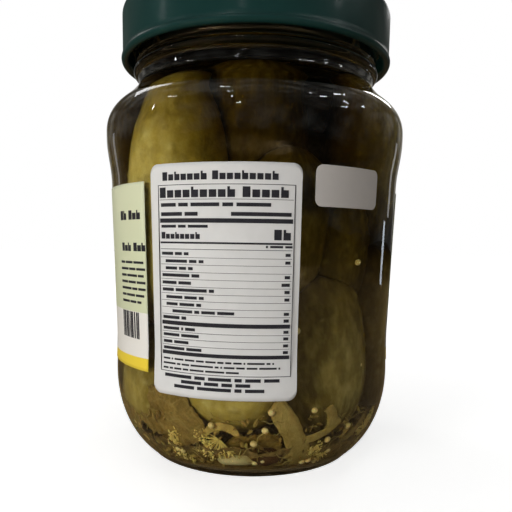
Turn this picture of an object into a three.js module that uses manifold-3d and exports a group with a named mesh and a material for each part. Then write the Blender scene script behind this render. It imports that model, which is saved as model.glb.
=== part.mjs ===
// A shut glass jar of pickled cucumbers, standing upright. Millimetres, +Z up, origin under the middle
// of the foot. The front faces -Y. A bearing is an angle round the jar, 0 at the front and growing
// towards +X. The jar is full of brine, which is clear and has no solid of its own.
import * as THREE from "three";
import { mergeVertices } from "three/addons/utils/BufferGeometryUtils.js";
import Module from "manifold-3d";

const wasm = await Module();
wasm.setup();

const SEGMENTS = 40; // facets round the glass and the lid
const GAP = 0.3; // left between pieces that touch

// The glass, from the foot up: radii and heights of its outer face
const FOOT = { inner: 30, outer: 34.3, pushUp: 2.6 };
const HEEL = { radius: 45.6, height: 26.5, round: 20.6, drop: 29.3, turn: 60 };
const PANEL = { low: 45.2, high: 46.4, bottom: 40, top: 86.4 };
const SHOULDER = { radius: 47.8, bottom: 100, top: 102.4, round: 11.6, rise: 11, turn: 62 };
const NECK = { radius: 37.8, foot: 116.4, bead: 39.4, beadHeight: 121.4 };
const FINISH = { radius: 38.8, thread: 40.2, threadHeight: 129.2, top: 137.6, bore: 35.6 };
const WALL = { body: 2.6, base: 3.0, floorRise: 2.0, floorEdge: 30 };

// The twist-off lid
const LID = { skirt: 42.6, rim: 123.7, top: 139.7, curl: 1.15, sheet: 0.7, corner: 2.0 };
const LID_PANEL = { radius: 34.4, drop: 0.8, button: 14, buttonRise: 0.4 };
const LUGS = { count: 6, width: 12, depth: 1.4, height: 1.6 };

// Paper round the glass: bearings of the side edges, heights of the lower and upper edges, corners
const PAPER = 0.2;
const MAIN_LABEL = { from: 74.5, to: 319.6, bottom: 31.1, top: 84.5, corner: 0, columns: 30, rows: 4 };
const FACTS_LABEL = { from: -36.9, to: 15.5, bottom: 26.1, top: 88.6, corner: 2.8, columns: 12, rows: 6 };
const SMALL_LABEL = { from: 20.1, to: 47.9, bottom: 77.9, top: 88.7, corner: 2.4, columns: 8, rows: 2 };

// The cucumbers. reach is how far the middle is from the jar's axis; lean is the tilt from upright,
// and way is where the upper end tips to, as a bearing; bend is how far the middle bows outwards.
const CUCUMBERS = [
  { name: "tall left", bearing: -42, reach: 29.2, height: 77, length: 70, girth: 29.5, lean: 2, way: 60, bend: 1.5 },
  { name: "stub under it", bearing: -54, reach: 28.8, height: 28, length: 32, girth: 27, lean: 8, way: 100, bend: 0 },
  { name: "front", bearing: -8, reach: 28.4, height: 39.5, length: 50, girth: 31, lean: 4, way: 173, bend: 1 },
  { name: "over it", bearing: 17, reach: 22.5, height: 71, length: 52, girth: 27, lean: 4, way: 60, bend: 0.5 },
  { name: "front right", bearing: 38, reach: 26.5, height: 38, length: 52, girth: 29, lean: 13, way: -142, bend: 0.5 },
  { name: "over that", bearing: 50, reach: 22, height: 68, length: 46, girth: 26, lean: 6, way: 150, bend: 0.5 },
  { name: "deep", bearing: -3, reach: 15.5, height: 95, length: 44, girth: 28, lean: 4, way: 90, bend: 0 },
  { name: "right", bearing: 92, reach: 30.0, height: 42, length: 52, girth: 27, lean: 3, way: 0, bend: 2 },
  { name: "back right", bearing: 142, reach: 29.8, height: 49, length: 63, girth: 27.5, lean: 4, way: 40, bend: 1 },
  { name: "back left", bearing: -164, reach: 29.8, height: 52, length: 69, girth: 27, lean: 3, way: 90, bend: 1.6 },
  { name: "left back", bearing: -102, reach: 29.8, height: 42, length: 52, girth: 27.5, lean: 3, way: 180, bend: 1 },
  { name: "upper right", bearing: 78, reach: 27, height: 92, length: 50, girth: 26, lean: 12, way: 40, bend: 2 },
  { name: "lying back", bearing: 170, reach: 26, height: 98, length: 56, girth: 26, lean: 80, way: 262, bend: 4 },
  { name: "upper left", bearing: -100, reach: 28, height: 92, length: 46, girth: 26, lean: 10, way: 200, bend: 2 },
];
const CUCUMBER_FORM = { blunt: 3, lobes: 3, lobeDepth: 0.035, rings: 8, sides: 10 };
const HEAP_CORE = { radius: 21, bottom: 24, top: 100, sides: 12 };

// The seasoning at the bottom
const BED = { radius: 38.5, crown: 8.8, roughness: 1.6, rings: 4, sides: 16 };
const MUSTARD = { radius: 1.1, count: 20 };
const STRIPS = [
  { bearing: 15.5, height: 14.8, length: 22, width: 6.2, thick: 2.4, tip: -27 },
  { bearing: 30, height: 15.5, length: 12, width: 2.6, thick: 2.2, tip: 64 },
  { bearing: 118, height: 16.5, length: 21, width: 6, thick: 2.6, tip: -35 },
  { bearing: 205, height: 16, length: 20, width: 5.6, thick: 2.6, tip: 30 },
  { bearing: 283, height: 17, length: 22, width: 6, thick: 2.6, tip: -18 },
];
const GARLIC = [
  { bearing: -6, height: 8, length: 11, girth: 5.4 },
  { bearing: 152, height: 10, length: 13, girth: 7 },
  { bearing: 248, height: 9.8, length: 13, girth: 6.4 },
];
const LEAVES = [
  { bearing: -35.5, height: 18.6, width: 23, tall: 16, curl: 1.2 },
  { bearing: 84, height: 16.5, width: 19, tall: 14, curl: 1.4 },
  { bearing: 178, height: 17, width: 22, tall: 15, curl: 1.2 },
];
const UMBELS = [
  { bearing: -19, height: 11.5, reach: 8.5, rays: 6 },
  { bearing: 62, height: 11.5, reach: 7, rays: 5 },
  { bearing: 225, height: 12, reach: 8, rays: 6 },
];

const radians = THREE.MathUtils.degToRad;
const smooth = (t) => t * t * (3 - 2 * t);
// The same number from 0 to 1 for the same pair, so that what is uneven is uneven in the same way
const chance = (i, k) => {
  const s = Math.sin(i * 12.9898 + k * 78.233) * 43758.5453;
  return s - Math.floor(s);
};
// A point at a bearing, a distance from the axis and a height
const around = (bearing, reach, height) =>
  new THREE.Vector3(Math.sin(radians(bearing)) * reach, -Math.cos(radians(bearing)) * reach, height);

// Points on an ellipse between two angles in degrees, both ends included
function arc(centreRadius, centreHeight, wide, tall, from, to, steps) {
  return Array.from({ length: steps + 1 }, (_, i) => {
    const a = radians(from + ((to - from) * i) / steps);
    return new THREE.Vector2(centreRadius + wide * Math.cos(a), centreHeight + tall * Math.sin(a));
  });
}

// Points that ease from one radius to another over a stretch of height, the first one left out
function ease(fromRadius, fromHeight, toRadius, toHeight, steps) {
  return Array.from({ length: steps }, (_, i) => {
    const t = (i + 1) / steps;
    return new THREE.Vector2(
      fromRadius + (toRadius - fromRadius) * smooth(t),
      fromHeight + (toHeight - fromHeight) * t,
    );
  });
}

// The glass from the edge of the foot to the neck, outside
function outerBody() {
  const heelCentre = HEEL.radius - HEEL.round;
  return [
    new THREE.Vector2(FOOT.outer, 0),
    ...arc(heelCentre, HEEL.height, HEEL.round, HEEL.drop, -HEEL.turn, 0, 6),
    ...ease(HEEL.radius, HEEL.height, PANEL.low, PANEL.bottom, 3),
    new THREE.Vector2(PANEL.high, PANEL.top),
    ...ease(PANEL.high, PANEL.top, SHOULDER.radius, SHOULDER.bottom, 3),
    ...arc(SHOULDER.radius - SHOULDER.round, SHOULDER.top, SHOULDER.round, SHOULDER.rise, 0, SHOULDER.turn, 5),
    new THREE.Vector2(NECK.radius, NECK.foot),
  ];
}

// The inner face from the middle of the floor to the neck, set in by a gap where something lies on it
function innerBody(gap = 0) {
  const inset = WALL.body + gap;
  const floor = WALL.base + gap;
  return [
    new THREE.Vector2(0, floor + WALL.floorRise),
    new THREE.Vector2(WALL.floorEdge * 0.6, floor + WALL.floorRise * 0.6),
    ...arc(WALL.floorEdge, HEEL.height, HEEL.radius - inset - WALL.floorEdge, HEEL.height - floor, -90, 0, 6),
    new THREE.Vector2(PANEL.low - inset, PANEL.bottom),
    new THREE.Vector2(PANEL.high - inset, PANEL.top),
    new THREE.Vector2(SHOULDER.radius - inset, SHOULDER.bottom),
    ...arc(
      SHOULDER.radius - SHOULDER.round, SHOULDER.top,
      SHOULDER.round - inset, SHOULDER.rise - inset, 0, SHOULDER.turn, 4,
    ),
    new THREE.Vector2(NECK.radius - inset, NECK.foot - 0.6),
  ];
}

// The radius at a height of a line of points that rises all the way
function radiusAt(line, height) {
  const i = Math.max(line.findIndex((p) => p.y >= height), 1);
  const [a, b] = [line[i - 1], line[i]];
  return a.x + ((b.x - a.x) * (height - a.y)) / (b.y - a.y);
}
const outerRadius = (height) => radiusAt(outerBody(), height);
// How far the room inside reaches from the axis, for what lies against the glass
const wallReach = (height) => radiusAt(innerBody(GAP).slice(2), height);

// A closed solid turned from a profile of radii and heights
function turned(profile, segments = SEGMENTS) {
  return new THREE.LatheGeometry(profile, segments).rotateX(Math.PI / 2);
}

function solidFrom(geometry) {
  const bare = geometry.clone();
  bare.deleteAttribute("normal");
  bare.deleteAttribute("uv");
  const merged = mergeVertices(bare, 1e-4);
  return new wasm.Manifold(
    new wasm.Mesh({
      numProp: 3,
      vertProperties: new Float32Array(merged.attributes.position.array),
      triVerts: new Uint32Array(merged.index.array),
    }),
  );
}

function geometryFrom(solid) {
  const mesh = solid.getMesh();
  const positions = new Float32Array(mesh.numVert * 3);
  for (let i = 0; i < mesh.numVert; i++) {
    positions.set(mesh.vertProperties.subarray(i * mesh.numProp, i * mesh.numProp + 3), i * 3);
  }
  const geometry = new THREE.BufferGeometry();
  geometry.setAttribute("position", new THREE.BufferAttribute(positions, 3));
  geometry.setIndex(new THREE.BufferAttribute(new Uint32Array(mesh.triVerts), 1));
  geometry.computeVertexNormals();
  return geometry;
}

const joined = (solids) => solids.reduce((all, one) => all.add(one));
// The largest of the bodies that a cut leaves
const largest = (solid) => solid.decompose().reduce((a, b) => (b.volume() > a.volume() ? b : a));

function makeGlass() {
  const { radius, thread, threadHeight, top, bore } = FINISH;
  return turned([
    new THREE.Vector2(0, FOOT.pushUp),
    new THREE.Vector2(FOOT.inner * 0.8, FOOT.pushUp * 0.6),
    new THREE.Vector2(FOOT.inner, 0),
    ...outerBody(),
    new THREE.Vector2(NECK.radius, NECK.beadHeight - 1.8),
    ...arc(NECK.radius, NECK.beadHeight, NECK.bead - NECK.radius, 1.4, -45, 45, 2),
    new THREE.Vector2(radius, NECK.beadHeight + 1.8),
    new THREE.Vector2(radius, threadHeight - 1.4),
    new THREE.Vector2(thread, threadHeight),
    new THREE.Vector2(radius, threadHeight + 1.4),
    new THREE.Vector2(radius, top - 0.8),
    new THREE.Vector2(radius - 0.8, top),
    new THREE.Vector2(bore + 0.6, top),
    new THREE.Vector2(bore, top - 0.6),
    new THREE.Vector2(bore, NECK.beadHeight + 3),
    ...innerBody().reverse(),
  ]);
}

function makeLid() {
  const curlRadius = LID.skirt + 0.45 - LID.curl;
  const curlHeight = LID.rim + LID.curl;
  const inner = LID.skirt - LID.sheet;
  const liner = FINISH.top + GAP;
  const profile = [
    new THREE.Vector2(0, LID.top - LID_PANEL.drop + LID_PANEL.buttonRise),
    new THREE.Vector2(LID_PANEL.button - 2, LID.top - LID_PANEL.drop + LID_PANEL.buttonRise),
    new THREE.Vector2(LID_PANEL.button, LID.top - LID_PANEL.drop),
    new THREE.Vector2(LID_PANEL.radius, LID.top - LID_PANEL.drop),
    new THREE.Vector2(LID_PANEL.radius + 1, LID.top),
    ...arc(LID.skirt - LID.corner, LID.top - LID.corner, LID.corner, LID.corner, 90, 0, 2),
    ...arc(curlRadius, curlHeight, LID.curl, LID.curl, 50, -230, 7),
    new THREE.Vector2(inner, curlHeight + 1.4),
    new THREE.Vector2(inner, liner - 0.7),
    new THREE.Vector2(inner - 0.7, liner),
    new THREE.Vector2(LID_PANEL.radius - 0.4, liner),
    new THREE.Vector2(LID_PANEL.radius - 1, LID.top - LID_PANEL.drop - LID.sheet),
    new THREE.Vector2(0, LID.top - LID_PANEL.drop - LID.sheet),
  ].reverse();
  const shell = solidFrom(turned(profile));
  const lugReach = curlRadius - LUGS.depth / 2 - 0.3;
  const lugs = Array.from({ length: LUGS.count }, (_, i) => {
    const bearing = (360 * (i + 0.5)) / LUGS.count;
    const lug = new THREE.BoxGeometry(LUGS.width, LUGS.depth, LUGS.height);
    lug.rotateZ(radians(bearing));
    const place = around(bearing, lugReach, curlHeight + 0.1);
    return solidFrom(lug.translate(place.x, place.y, place.z));
  });
  return geometryFrom(joined([shell, ...lugs]));
}

// A label: a thin box, bent round the glass, with its corners rounded by lowering the end columns
function makeLabel({ from, to, bottom, top, corner, columns, rows }) {
  const box = new THREE.BoxGeometry(1, 1, 1, columns, 1, rows);
  const middle = outerRadius((bottom + top) / 2);
  const width = radians(to - from) * middle;
  const at = box.attributes.position;
  for (let i = 0; i < at.count; i++) {
    const u = at.getX(i) + 0.5;
    const eased = corner ? (1 - Math.cos(Math.PI * u)) / 2 : u;
    const along = 0.5 * u + 0.5 * eased;
    const inset = Math.max(0, corner - Math.min(along, 1 - along) * width);
    const drop = corner - Math.sqrt(Math.max(corner * corner - inset * inset, 0));
    const low = bottom + drop;
    const height = low + (top - drop - low) * (at.getZ(i) + 0.5);
    const reach = outerRadius(height) + GAP + (at.getY(i) < 0 ? PAPER : 0);
    const place = around(from + (to - from) * along, reach, height);
    at.setXYZ(i, place.x, place.y, place.z);
  }
  return box;
}

// A cucumber, upright and then leaned: at a share t of its length its radius is
// girth / 2 * (1 - |2t - 1| ^ blunt) ^ 0.5, with three soft lobes round it. grow fattens it all over.
function makeCucumber({ bearing, reach, height, length, girth, lean, way, bend }, index, grow = 0) {
  const { blunt, lobes, lobeDepth, rings, sides } = CUCUMBER_FORM;
  const taper = 0.08 * (chance(index, 1) - 0.5);
  const profile = Array.from({ length: rings + 1 }, (_, i) => {
    const t = (1 - Math.cos((Math.PI * i) / rings)) / 2;
    const radius = (girth / 2) * Math.sqrt(Math.max(1 - Math.abs(2 * t - 1) ** blunt, 0));
    const full = radius * (1 + taper * (2 * t - 1));
    return new THREE.Vector2(i % rings === 0 ? 0 : full + grow, (t - 0.5) * (length + 2 * grow));
  });
  const body = turned(profile, sides);
  const at = body.attributes.position;
  const turn = 6.28 * chance(index, 2);
  for (let i = 0; i < at.count; i++) {
    const angle = Math.atan2(at.getY(i), at.getX(i));
    const swell = 1 + lobeDepth * Math.cos(lobes * angle + turn);
    const bow = bend * (1 - (2 * at.getZ(i) / length) ** 2);
    const out = around(bearing, bow, 0);
    at.setXYZ(i, at.getX(i) * swell + out.x, at.getY(i) * swell + out.y, at.getZ(i));
  }
  const axis = around(way + 90, 1, 0);
  body.applyMatrix4(new THREE.Matrix4().makeRotationAxis(axis, radians(lean)));
  const place = around(bearing, reach, height);
  return solidFrom(body.translate(place.x, place.y, place.z));
}

// The room inside the glass, less a gap: what fills the jar is cut to it
function makeRoom() {
  const line = innerBody(GAP).slice(0, -1);
  return solidFrom(turned([...line, new THREE.Vector2(0, line.at(-1).y + 1)]));
}

function makeCucumberHeap(room) {
  const core = new THREE.CylinderGeometry(
    HEAP_CORE.radius * 0.7, HEAP_CORE.radius, HEAP_CORE.top - HEAP_CORE.bottom, HEAP_CORE.sides,
  );
  core.rotateX(Math.PI / 2).translate(0, 0, (HEAP_CORE.top + HEAP_CORE.bottom) / 2);
  const heap = joined([solidFrom(core), ...CUCUMBERS.map((one, i) => makeCucumber(one, i))]);
  return largest(heap.intersect(room));
}

// The bed of fine bits: a low mound whose top rises and falls
function makeBed() {
  const { radius, crown, roughness, rings, sides } = BED;
  const base = WALL.base - 1;
  const rim = Array.from({ length: rings + 1 }, (_, i) => new THREE.Vector2((radius * i) / rings, crown));
  const bed = turned([new THREE.Vector2(0, base), new THREE.Vector2(radius, base), ...rim.reverse()], sides);
  const at = bed.attributes.position;
  for (let i = 0; i < at.count; i++) {
    if (at.getZ(i) > base + 1) {
      const [x, y] = [at.getX(i), at.getY(i)];
      at.setZ(i, at.getZ(i) + roughness * (Math.sin(x * 0.42 + 1) * Math.cos(y * 0.37) + Math.sin(x * y * 0.01)));
    }
  }
  return solidFrom(bed);
}

// A cut strip of vegetable, lying against the glass and tipped in its own plane
function makeStrip({ bearing, height, length, width, thick, tip }) {
  const outline = new THREE.Shape();
  outline.absellipse(0, 0, width / 2, thick / 2, 0, 2 * Math.PI);
  const strip = new THREE.ExtrudeGeometry(outline, {
    depth: length, steps: 3, curveSegments: 4, bevelEnabled: false,
  });
  strip.translate(0, 0, -length / 2).rotateY(radians(tip)).rotateX(radians(-14)).rotateZ(radians(bearing));
  const place = around(bearing, wallReach(height) - thick / 2 - 0.6, height);
  return solidFrom(strip.translate(place.x, place.y, place.z));
}

function makeClove({ bearing, height, length, girth }) {
  const clove = new THREE.SphereGeometry(0.5, 8, 6).scale(length, girth * 0.8, girth);
  clove.rotateZ(radians(bearing));
  const place = around(bearing, wallReach(height) - girth * 0.4 - 0.8, height);
  return solidFrom(clove.translate(place.x, place.y, place.z));
}

// A thin wavy leaf against the glass, narrower at its two ends
function makeLeaf({ bearing, height, width, tall, curl }) {
  const leaf = new THREE.BoxGeometry(1, 1, 1, 7, 1, 4);
  const at = leaf.attributes.position;
  for (let i = 0; i < at.count; i++) {
    const [u, w] = [at.getX(i) * 2, at.getZ(i) * 2];
    const reachOut = 1 - 0.7 * u * u;
    const up = height + (w * tall * reachOut) / 2;
    const wave = curl * Math.sin(3.1 * u + 1.7 * w) * 0.5;
    const depth = wallReach(up) - 1.5 + wave + (at.getY(i) < 0 ? 0 : -1);
    const place = around(bearing + THREE.MathUtils.radToDeg((u * width) / 2 / depth), depth, up);
    at.setXYZ(i, place.x, place.y, place.z);
  }
  return solidFrom(leaf);
}

// A dill head: thin rays that fan out from one point, each with a knot of seed at its end
function makeUmbel({ bearing, height, reach, rays }, index) {
  const heart = around(bearing, wallReach(height) - 6, height - 3);
  const parts = Array.from({ length: rays }, (_, i) => {
    const fan = radians(-70 + (140 * i) / (rays - 1) + 12 * (chance(index, i) - 0.5));
    const side = around(bearing + 90, Math.sin(fan) * reach, Math.cos(fan) * reach * 0.8);
    const end = heart.clone().add(side).add(around(bearing, 2 + chance(i, index) * 1.5, 0));
    const limit = wallReach(end.z) - 1;
    const spread = Math.hypot(end.x, end.y);
    end.set((end.x * Math.min(spread, limit)) / spread, (end.y * Math.min(spread, limit)) / spread, end.z);
    const knot = new THREE.IcosahedronGeometry(1.3, 0).translate(end.x, end.y, end.z);
    const ray = new THREE.CylinderGeometry(0.5, 0.5, heart.distanceTo(end), 4);
    const turn = new THREE.Quaternion().setFromUnitVectors(
      new THREE.Vector3(0, 1, 0), end.clone().sub(heart).normalize(),
    );
    const half = heart.clone().add(end).multiplyScalar(0.5);
    ray.applyQuaternion(turn).translate(half.x, half.y, half.z);
    return solidFrom(knot).add(solidFrom(ray));
  });
  return joined(parts);
}

// Mustard seeds lie in the top of the bed, spread round it by the golden angle
function makeMustard() {
  const seeds = Array.from({ length: MUSTARD.count }, (_, i) => {
    const bearing = i * 137.508;
    const height = BED.crown + 0.4 + 1.4 * chance(i, 5);
    const reach = wallReach(height) - 1.6 - 3 * chance(i, 6);
    const place = around(bearing, reach, height);
    return solidFrom(new THREE.IcosahedronGeometry(MUSTARD.radius, 0).translate(place.x, place.y, place.z));
  });
  return joined(seeds);
}

function makeSeasoning(room) {
  const heap = joined([
    makeBed(),
    ...STRIPS.map(makeStrip),
    ...GARLIC.map(makeClove),
    ...LEAVES.map(makeLeaf),
    ...UMBELS.map(makeUmbel),
    makeMustard(),
  ]);
  const cucumbers = joined(CUCUMBERS.map((one, i) => makeCucumber(one, i, GAP + 0.1)));
  return largest(heap.intersect(room).subtract(cucumbers));
}

const finish = (color, roughness, metalness = 0, more = {}) =>
  new THREE.MeshStandardMaterial({ color, roughness, metalness, ...more });
const clearGlass = finish(0xe4eee6, 0.05, 0, { transparent: true, opacity: 0.35 });
const greenEnamel = finish(0x0f3b34, 0.3, 0.4);
const labelPaper = finish(0xd3d9bf, 0.6);
const stickerPaper = finish(0xd2d3d2, 0.6);
const cucumberSkin = finish(0x6f5f1d, 0.45);
const seasoningMix = finish(0x6a5427, 0.6);

const room = makeRoom();
const pieces = [
  ["glass_jar", makeGlass(), clearGlass],
  ["twist_lid", makeLid(), greenEnamel],
  ["wrap_label", makeLabel(MAIN_LABEL), labelPaper],
  ["facts_sticker", makeLabel(FACTS_LABEL), stickerPaper],
  ["small_sticker", makeLabel(SMALL_LABEL), stickerPaper],
  ["cucumber_heap", geometryFrom(makeCucumberHeap(room)), cucumberSkin],
  ["seasoning_heap", geometryFrom(makeSeasoning(room)), seasoningMix],
];

const jar = new THREE.Group();
jar.name = "pickle_jar";
for (const [name, geometry, material] of pieces) {
  const mesh = new THREE.Mesh(geometry, material);
  mesh.name = name;
  jar.add(mesh);
}

export default jar;
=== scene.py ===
"""A shut jar of pickled cucumbers in its brine, with a green cap and paper labels, on a pale floor."""

import math
from collections import namedtuple
from types import SimpleNamespace as Sizes

import bmesh
import bpy
import numpy as np
from mathutils import Matrix


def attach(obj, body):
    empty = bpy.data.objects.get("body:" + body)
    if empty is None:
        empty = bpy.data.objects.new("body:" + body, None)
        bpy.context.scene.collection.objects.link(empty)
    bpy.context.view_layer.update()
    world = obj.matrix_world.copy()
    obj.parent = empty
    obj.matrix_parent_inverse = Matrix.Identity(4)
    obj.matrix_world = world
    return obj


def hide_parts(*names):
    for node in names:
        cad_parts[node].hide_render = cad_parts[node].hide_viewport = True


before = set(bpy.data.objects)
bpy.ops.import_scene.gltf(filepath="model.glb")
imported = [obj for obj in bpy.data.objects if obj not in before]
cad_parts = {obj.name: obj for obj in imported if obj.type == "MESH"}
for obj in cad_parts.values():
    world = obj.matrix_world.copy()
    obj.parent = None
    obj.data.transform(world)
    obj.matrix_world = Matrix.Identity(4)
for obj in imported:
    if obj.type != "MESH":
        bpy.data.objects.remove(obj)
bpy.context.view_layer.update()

MM = 0.001
BODY = "root"

# The glass from the foot up, in millimetres: radii and heights of its outer face
FOOT = Sizes(inner=30, outer=34.3, push_up=2.6)
HEEL = Sizes(radius=45.6, height=26.5, round=20.6, drop=29.3, turn=60)
PANEL = Sizes(low=45.2, high=46.4, bottom=40, top=86.4)
SHOULDER = Sizes(radius=47.8, bottom=100, top=102.4, round=11.6, rise=11, turn=62)
NECK = Sizes(radius=37.8, foot=116.4, bead=39.4, bead_height=121.4)
FINISH = Sizes(radius=38.8, thread=40.2, thread_height=129.2, top=137.6, bore=35.6)
WALL = Sizes(body=2.6, base=3.0, floor_rise=2.0, floor_edge=30)
SEAMS = (-83, 97)
SEAM_HEIGHT = 0.11
GLASS_COLUMNS = 160

# The cap
LID = Sizes(skirt=42.6, rim=123.7, top=139.7, curl=1.15, sheet=0.7, corner=2.0)
LID_PANEL = Sizes(radius=34.4, drop=0.8, button=14, button_rise=0.4)
LUGS = Sizes(count=6, width=12, depth=1.2, height=1.5)

# The brine reaches this far into the wall, and stands at this height in the neck
BRINE_INTO_WALL = 0.2
BRINE_LEVEL = 122.2

# Paper round the glass: bearings of the side edges and heights of the lower and upper edges
MAIN_LABEL = Sizes(first=74.5, last=319.6, bottom=31.1, top=84.5, corner=0.0)
FACTS_LABEL = Sizes(first=-36.9, last=15.5, bottom=26.1, top=88.6, corner=2.6)
SMALL_LABEL = Sizes(first=20.1, last=47.9, bottom=77.9, top=88.7, corner=2.0)
PAPER = Sizes(lift=0.06, thick=0.14, ink=0.04)

# Bearing, distance from the axis, height of the middle, length, girth, lean from upright, the bearing
# that the upper end tips to, outward bow, and how light the skin is, partly its own colour and partly
# painted shade on those that lie in shadow
Gherkin = namedtuple("Gherkin", "bearing reach height length girth lean way bend tone")
GHERKINS = (
    Gherkin(-42, 29.2, 77, 70, 29.5, 2, 60, 1.5, 1.0),
    Gherkin(-54, 28.8, 28, 32, 27, 8, 100, 0, 0.6),
    Gherkin(-8, 28.4, 39.5, 50, 31, 4, 173, 1, 1.25),
    Gherkin(17, 22.5, 71, 52, 27, 4, 60, 0.5, 0.25),
    Gherkin(38, 26.5, 38, 52, 29, 13, -142, 0.5, 0.12),
    Gherkin(50, 22, 68, 46, 26, 6, 150, 0.5, 0.3),
    Gherkin(-3, 15.5, 95, 44, 28, 4, 90, 0, 0.15),
    Gherkin(92, 30, 42, 52, 27, 3, 0, 2, 0.45),
    Gherkin(142, 29.8, 49, 63, 27.5, 4, 40, 1, 0.6),
    Gherkin(-164, 29.8, 52, 69, 27, 3, 90, 1.6, 0.7),
    Gherkin(-102, 29.8, 42, 52, 27.5, 3, 180, 1, 0.5),
    Gherkin(78, 27, 92, 50, 26, 12, 40, 2, 0.35),
    Gherkin(170, 26, 98, 56, 26, 80, 262, 4, 0.65),
    Gherkin(-100, 28, 92, 46, 26, 10, 200, 2, 0.5),
)
# How blunt the ends are, the lobes round the girth and their depth, the warts and their height
GHERKIN_FORM = Sizes(blunt=3.0, lobes=3, lobe_depth=0.035, warts=60, wart_height=0.42)
# The share of a gherkin's length along which its skin is drawn in towards its axis
CORE_SHARE = 0.72
# Painted shade: a dark column among the gherkins that stands in for the shade between them; its radius,
# bottom and top
HEAP_CORE = Sizes(radius=19, bottom=24, top=100)

# How far what lies against the inner face stays off it
OFF_WALL = 0.35


# Shapes worked out as arrays, in millimetres


def circle(count):
    """Even angles once round, in radians."""
    return np.linspace(0, 2 * np.pi, count, endpoint=False)


def even_bearings(count):
    """Even bearings once round, in degrees from the back."""
    return np.linspace(-180, 180, count, endpoint=False)


def arc(centre_r, centre_z, wide, tall, start, end, steps):
    """Points on an ellipse between two angles in degrees, as rows of radius and height."""
    a = np.radians(np.linspace(start, end, steps + 1))
    return np.stack([centre_r + wide * np.cos(a), centre_z + tall * np.sin(a)], axis=1)


def ease(r0, z0, r1, z1, steps):
    """The radius goes from r0 to r1 by 3t^2 - 2t^3 as the height rises evenly, less the first point."""
    t = np.arange(1, steps + 1) / steps
    return np.stack([r0 + (r1 - r0) * t * t * (3 - 2 * t), z0 + (z1 - z0) * t], axis=1)


def soften(line, step, reach):
    """A rising line at even heights, each radius the weighted mean of those within reach."""
    low, high = line[0, 1], line[-1, 1]
    z = np.linspace(low, high, int((high - low) / step))
    half = max(int(reach / step), 1)
    weights = np.hanning(2 * half + 3)[1:-1]
    r = np.interp(z, line[:, 1], line[:, 0])
    padded = np.concatenate([2 * r[0] - r[half:0:-1], r, 2 * r[-1] - r[-2 : -half - 2 : -1]])
    return np.stack([np.convolve(padded, weights / weights.sum(), "valid"), z], axis=1)


def outer_line():
    """The outer face from just above the foot to the neck, softened where two stretches meet."""
    heel_centre = HEEL.radius - HEEL.round
    heel = arc(heel_centre, HEEL.height, HEEL.round, HEEL.drop, -HEEL.turn, 0, 40)
    waist = ease(HEEL.radius, HEEL.height, PANEL.low, PANEL.bottom, 12)
    swell = ease(PANEL.high, PANEL.top, SHOULDER.radius, SHOULDER.bottom, 14)
    centre = SHOULDER.radius - SHOULDER.round
    crown = arc(centre, SHOULDER.top, SHOULDER.round, SHOULDER.rise, 0, SHOULDER.turn, 30)
    neck = [[NECK.radius, NECK.foot], [NECK.radius, NECK.bead_height - 1.8]]
    line = np.concatenate([heel, waist, [[PANEL.high, PANEL.top]], swell, crown, neck])
    return soften(line, 0.8, 2.0)


def inner_line(inset_more=0.0):
    """The inner face from the edge of the floor to the neck, set in by the wall and by inset_more."""
    inset = WALL.body + inset_more
    floor = WALL.base + inset_more
    wide = HEEL.radius - inset - WALL.floor_edge
    heel = arc(WALL.floor_edge, HEEL.height, wide, HEEL.height - floor, -89, 0, 40)
    centre = SHOULDER.radius - SHOULDER.round
    swell = ease(PANEL.high - inset, PANEL.top, SHOULDER.radius - inset, SHOULDER.bottom, 12)
    wide_crown, tall_crown = SHOULDER.round - inset, SHOULDER.rise - inset
    crown = arc(centre, SHOULDER.top, wide_crown, tall_crown, 0, SHOULDER.turn, 24)
    panel = [[PANEL.low - inset, PANEL.bottom], [PANEL.high - inset, PANEL.top]]
    neck = [[NECK.radius - inset, NECK.foot - 0.6], [NECK.radius - inset, NECK.bead_height + 2]]
    return soften(np.concatenate([heel, panel, swell, crown, neck]), 1.0, 1.6)


OUTER = outer_line()
INNER = inner_line()


def outer_reach(height):
    """The outer face's radius at a height."""
    return np.interp(height, OUTER[:, 1], OUTER[:, 0])


def inner_reach(height):
    """The inner face's radius at a height."""
    return np.interp(height, INNER[:, 1], INNER[:, 0])


def around(bearing, reach, height):
    """Points at bearings in degrees, 0 at the front and growing to the right, on the last axis."""
    b = np.radians(np.asarray(bearing, float))
    reach = reach + 0 * b
    return np.stack([np.sin(b) * reach, -np.cos(b) * reach, height + 0 * b], axis=-1)


def turned(line, bearings, wave=None):
    """Rings of points, one for each row of radius and height. A wave of both adds to the radius."""
    r = line[:, :1] + 0 * bearings
    z = line[:, 1:] + 0 * bearings
    if wave is not None:
        r = r + wave(bearings + 0 * r, z)
    b = np.radians(bearings)
    return np.stack([r * np.sin(b), -r * np.cos(b), z], axis=-1)


def seam_bearings():
    """Even bearings with a few more close by each mould seam."""
    near = [seam + side for seam in SEAMS for side in (-1.4, -0.7, -0.35, 0, 0.35, 0.7, 1.4)]
    even = even_bearings(GLASS_COLUMNS)
    return np.unique(np.concatenate([even, near]))


# Patches: dictionaries of points, quads, triangles and the marks that a material reads from them


NO_TRIANGLES = np.zeros((0, 3), int)


def flat_patch(points, quads, marks):
    """A patch of quads from arrays of any depth."""
    points, quads = points.reshape(-1, 3), quads.reshape(-1, 4)
    return {"points": points, "quads": quads, "tris": NO_TRIANGLES, "marks": marks}


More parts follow.
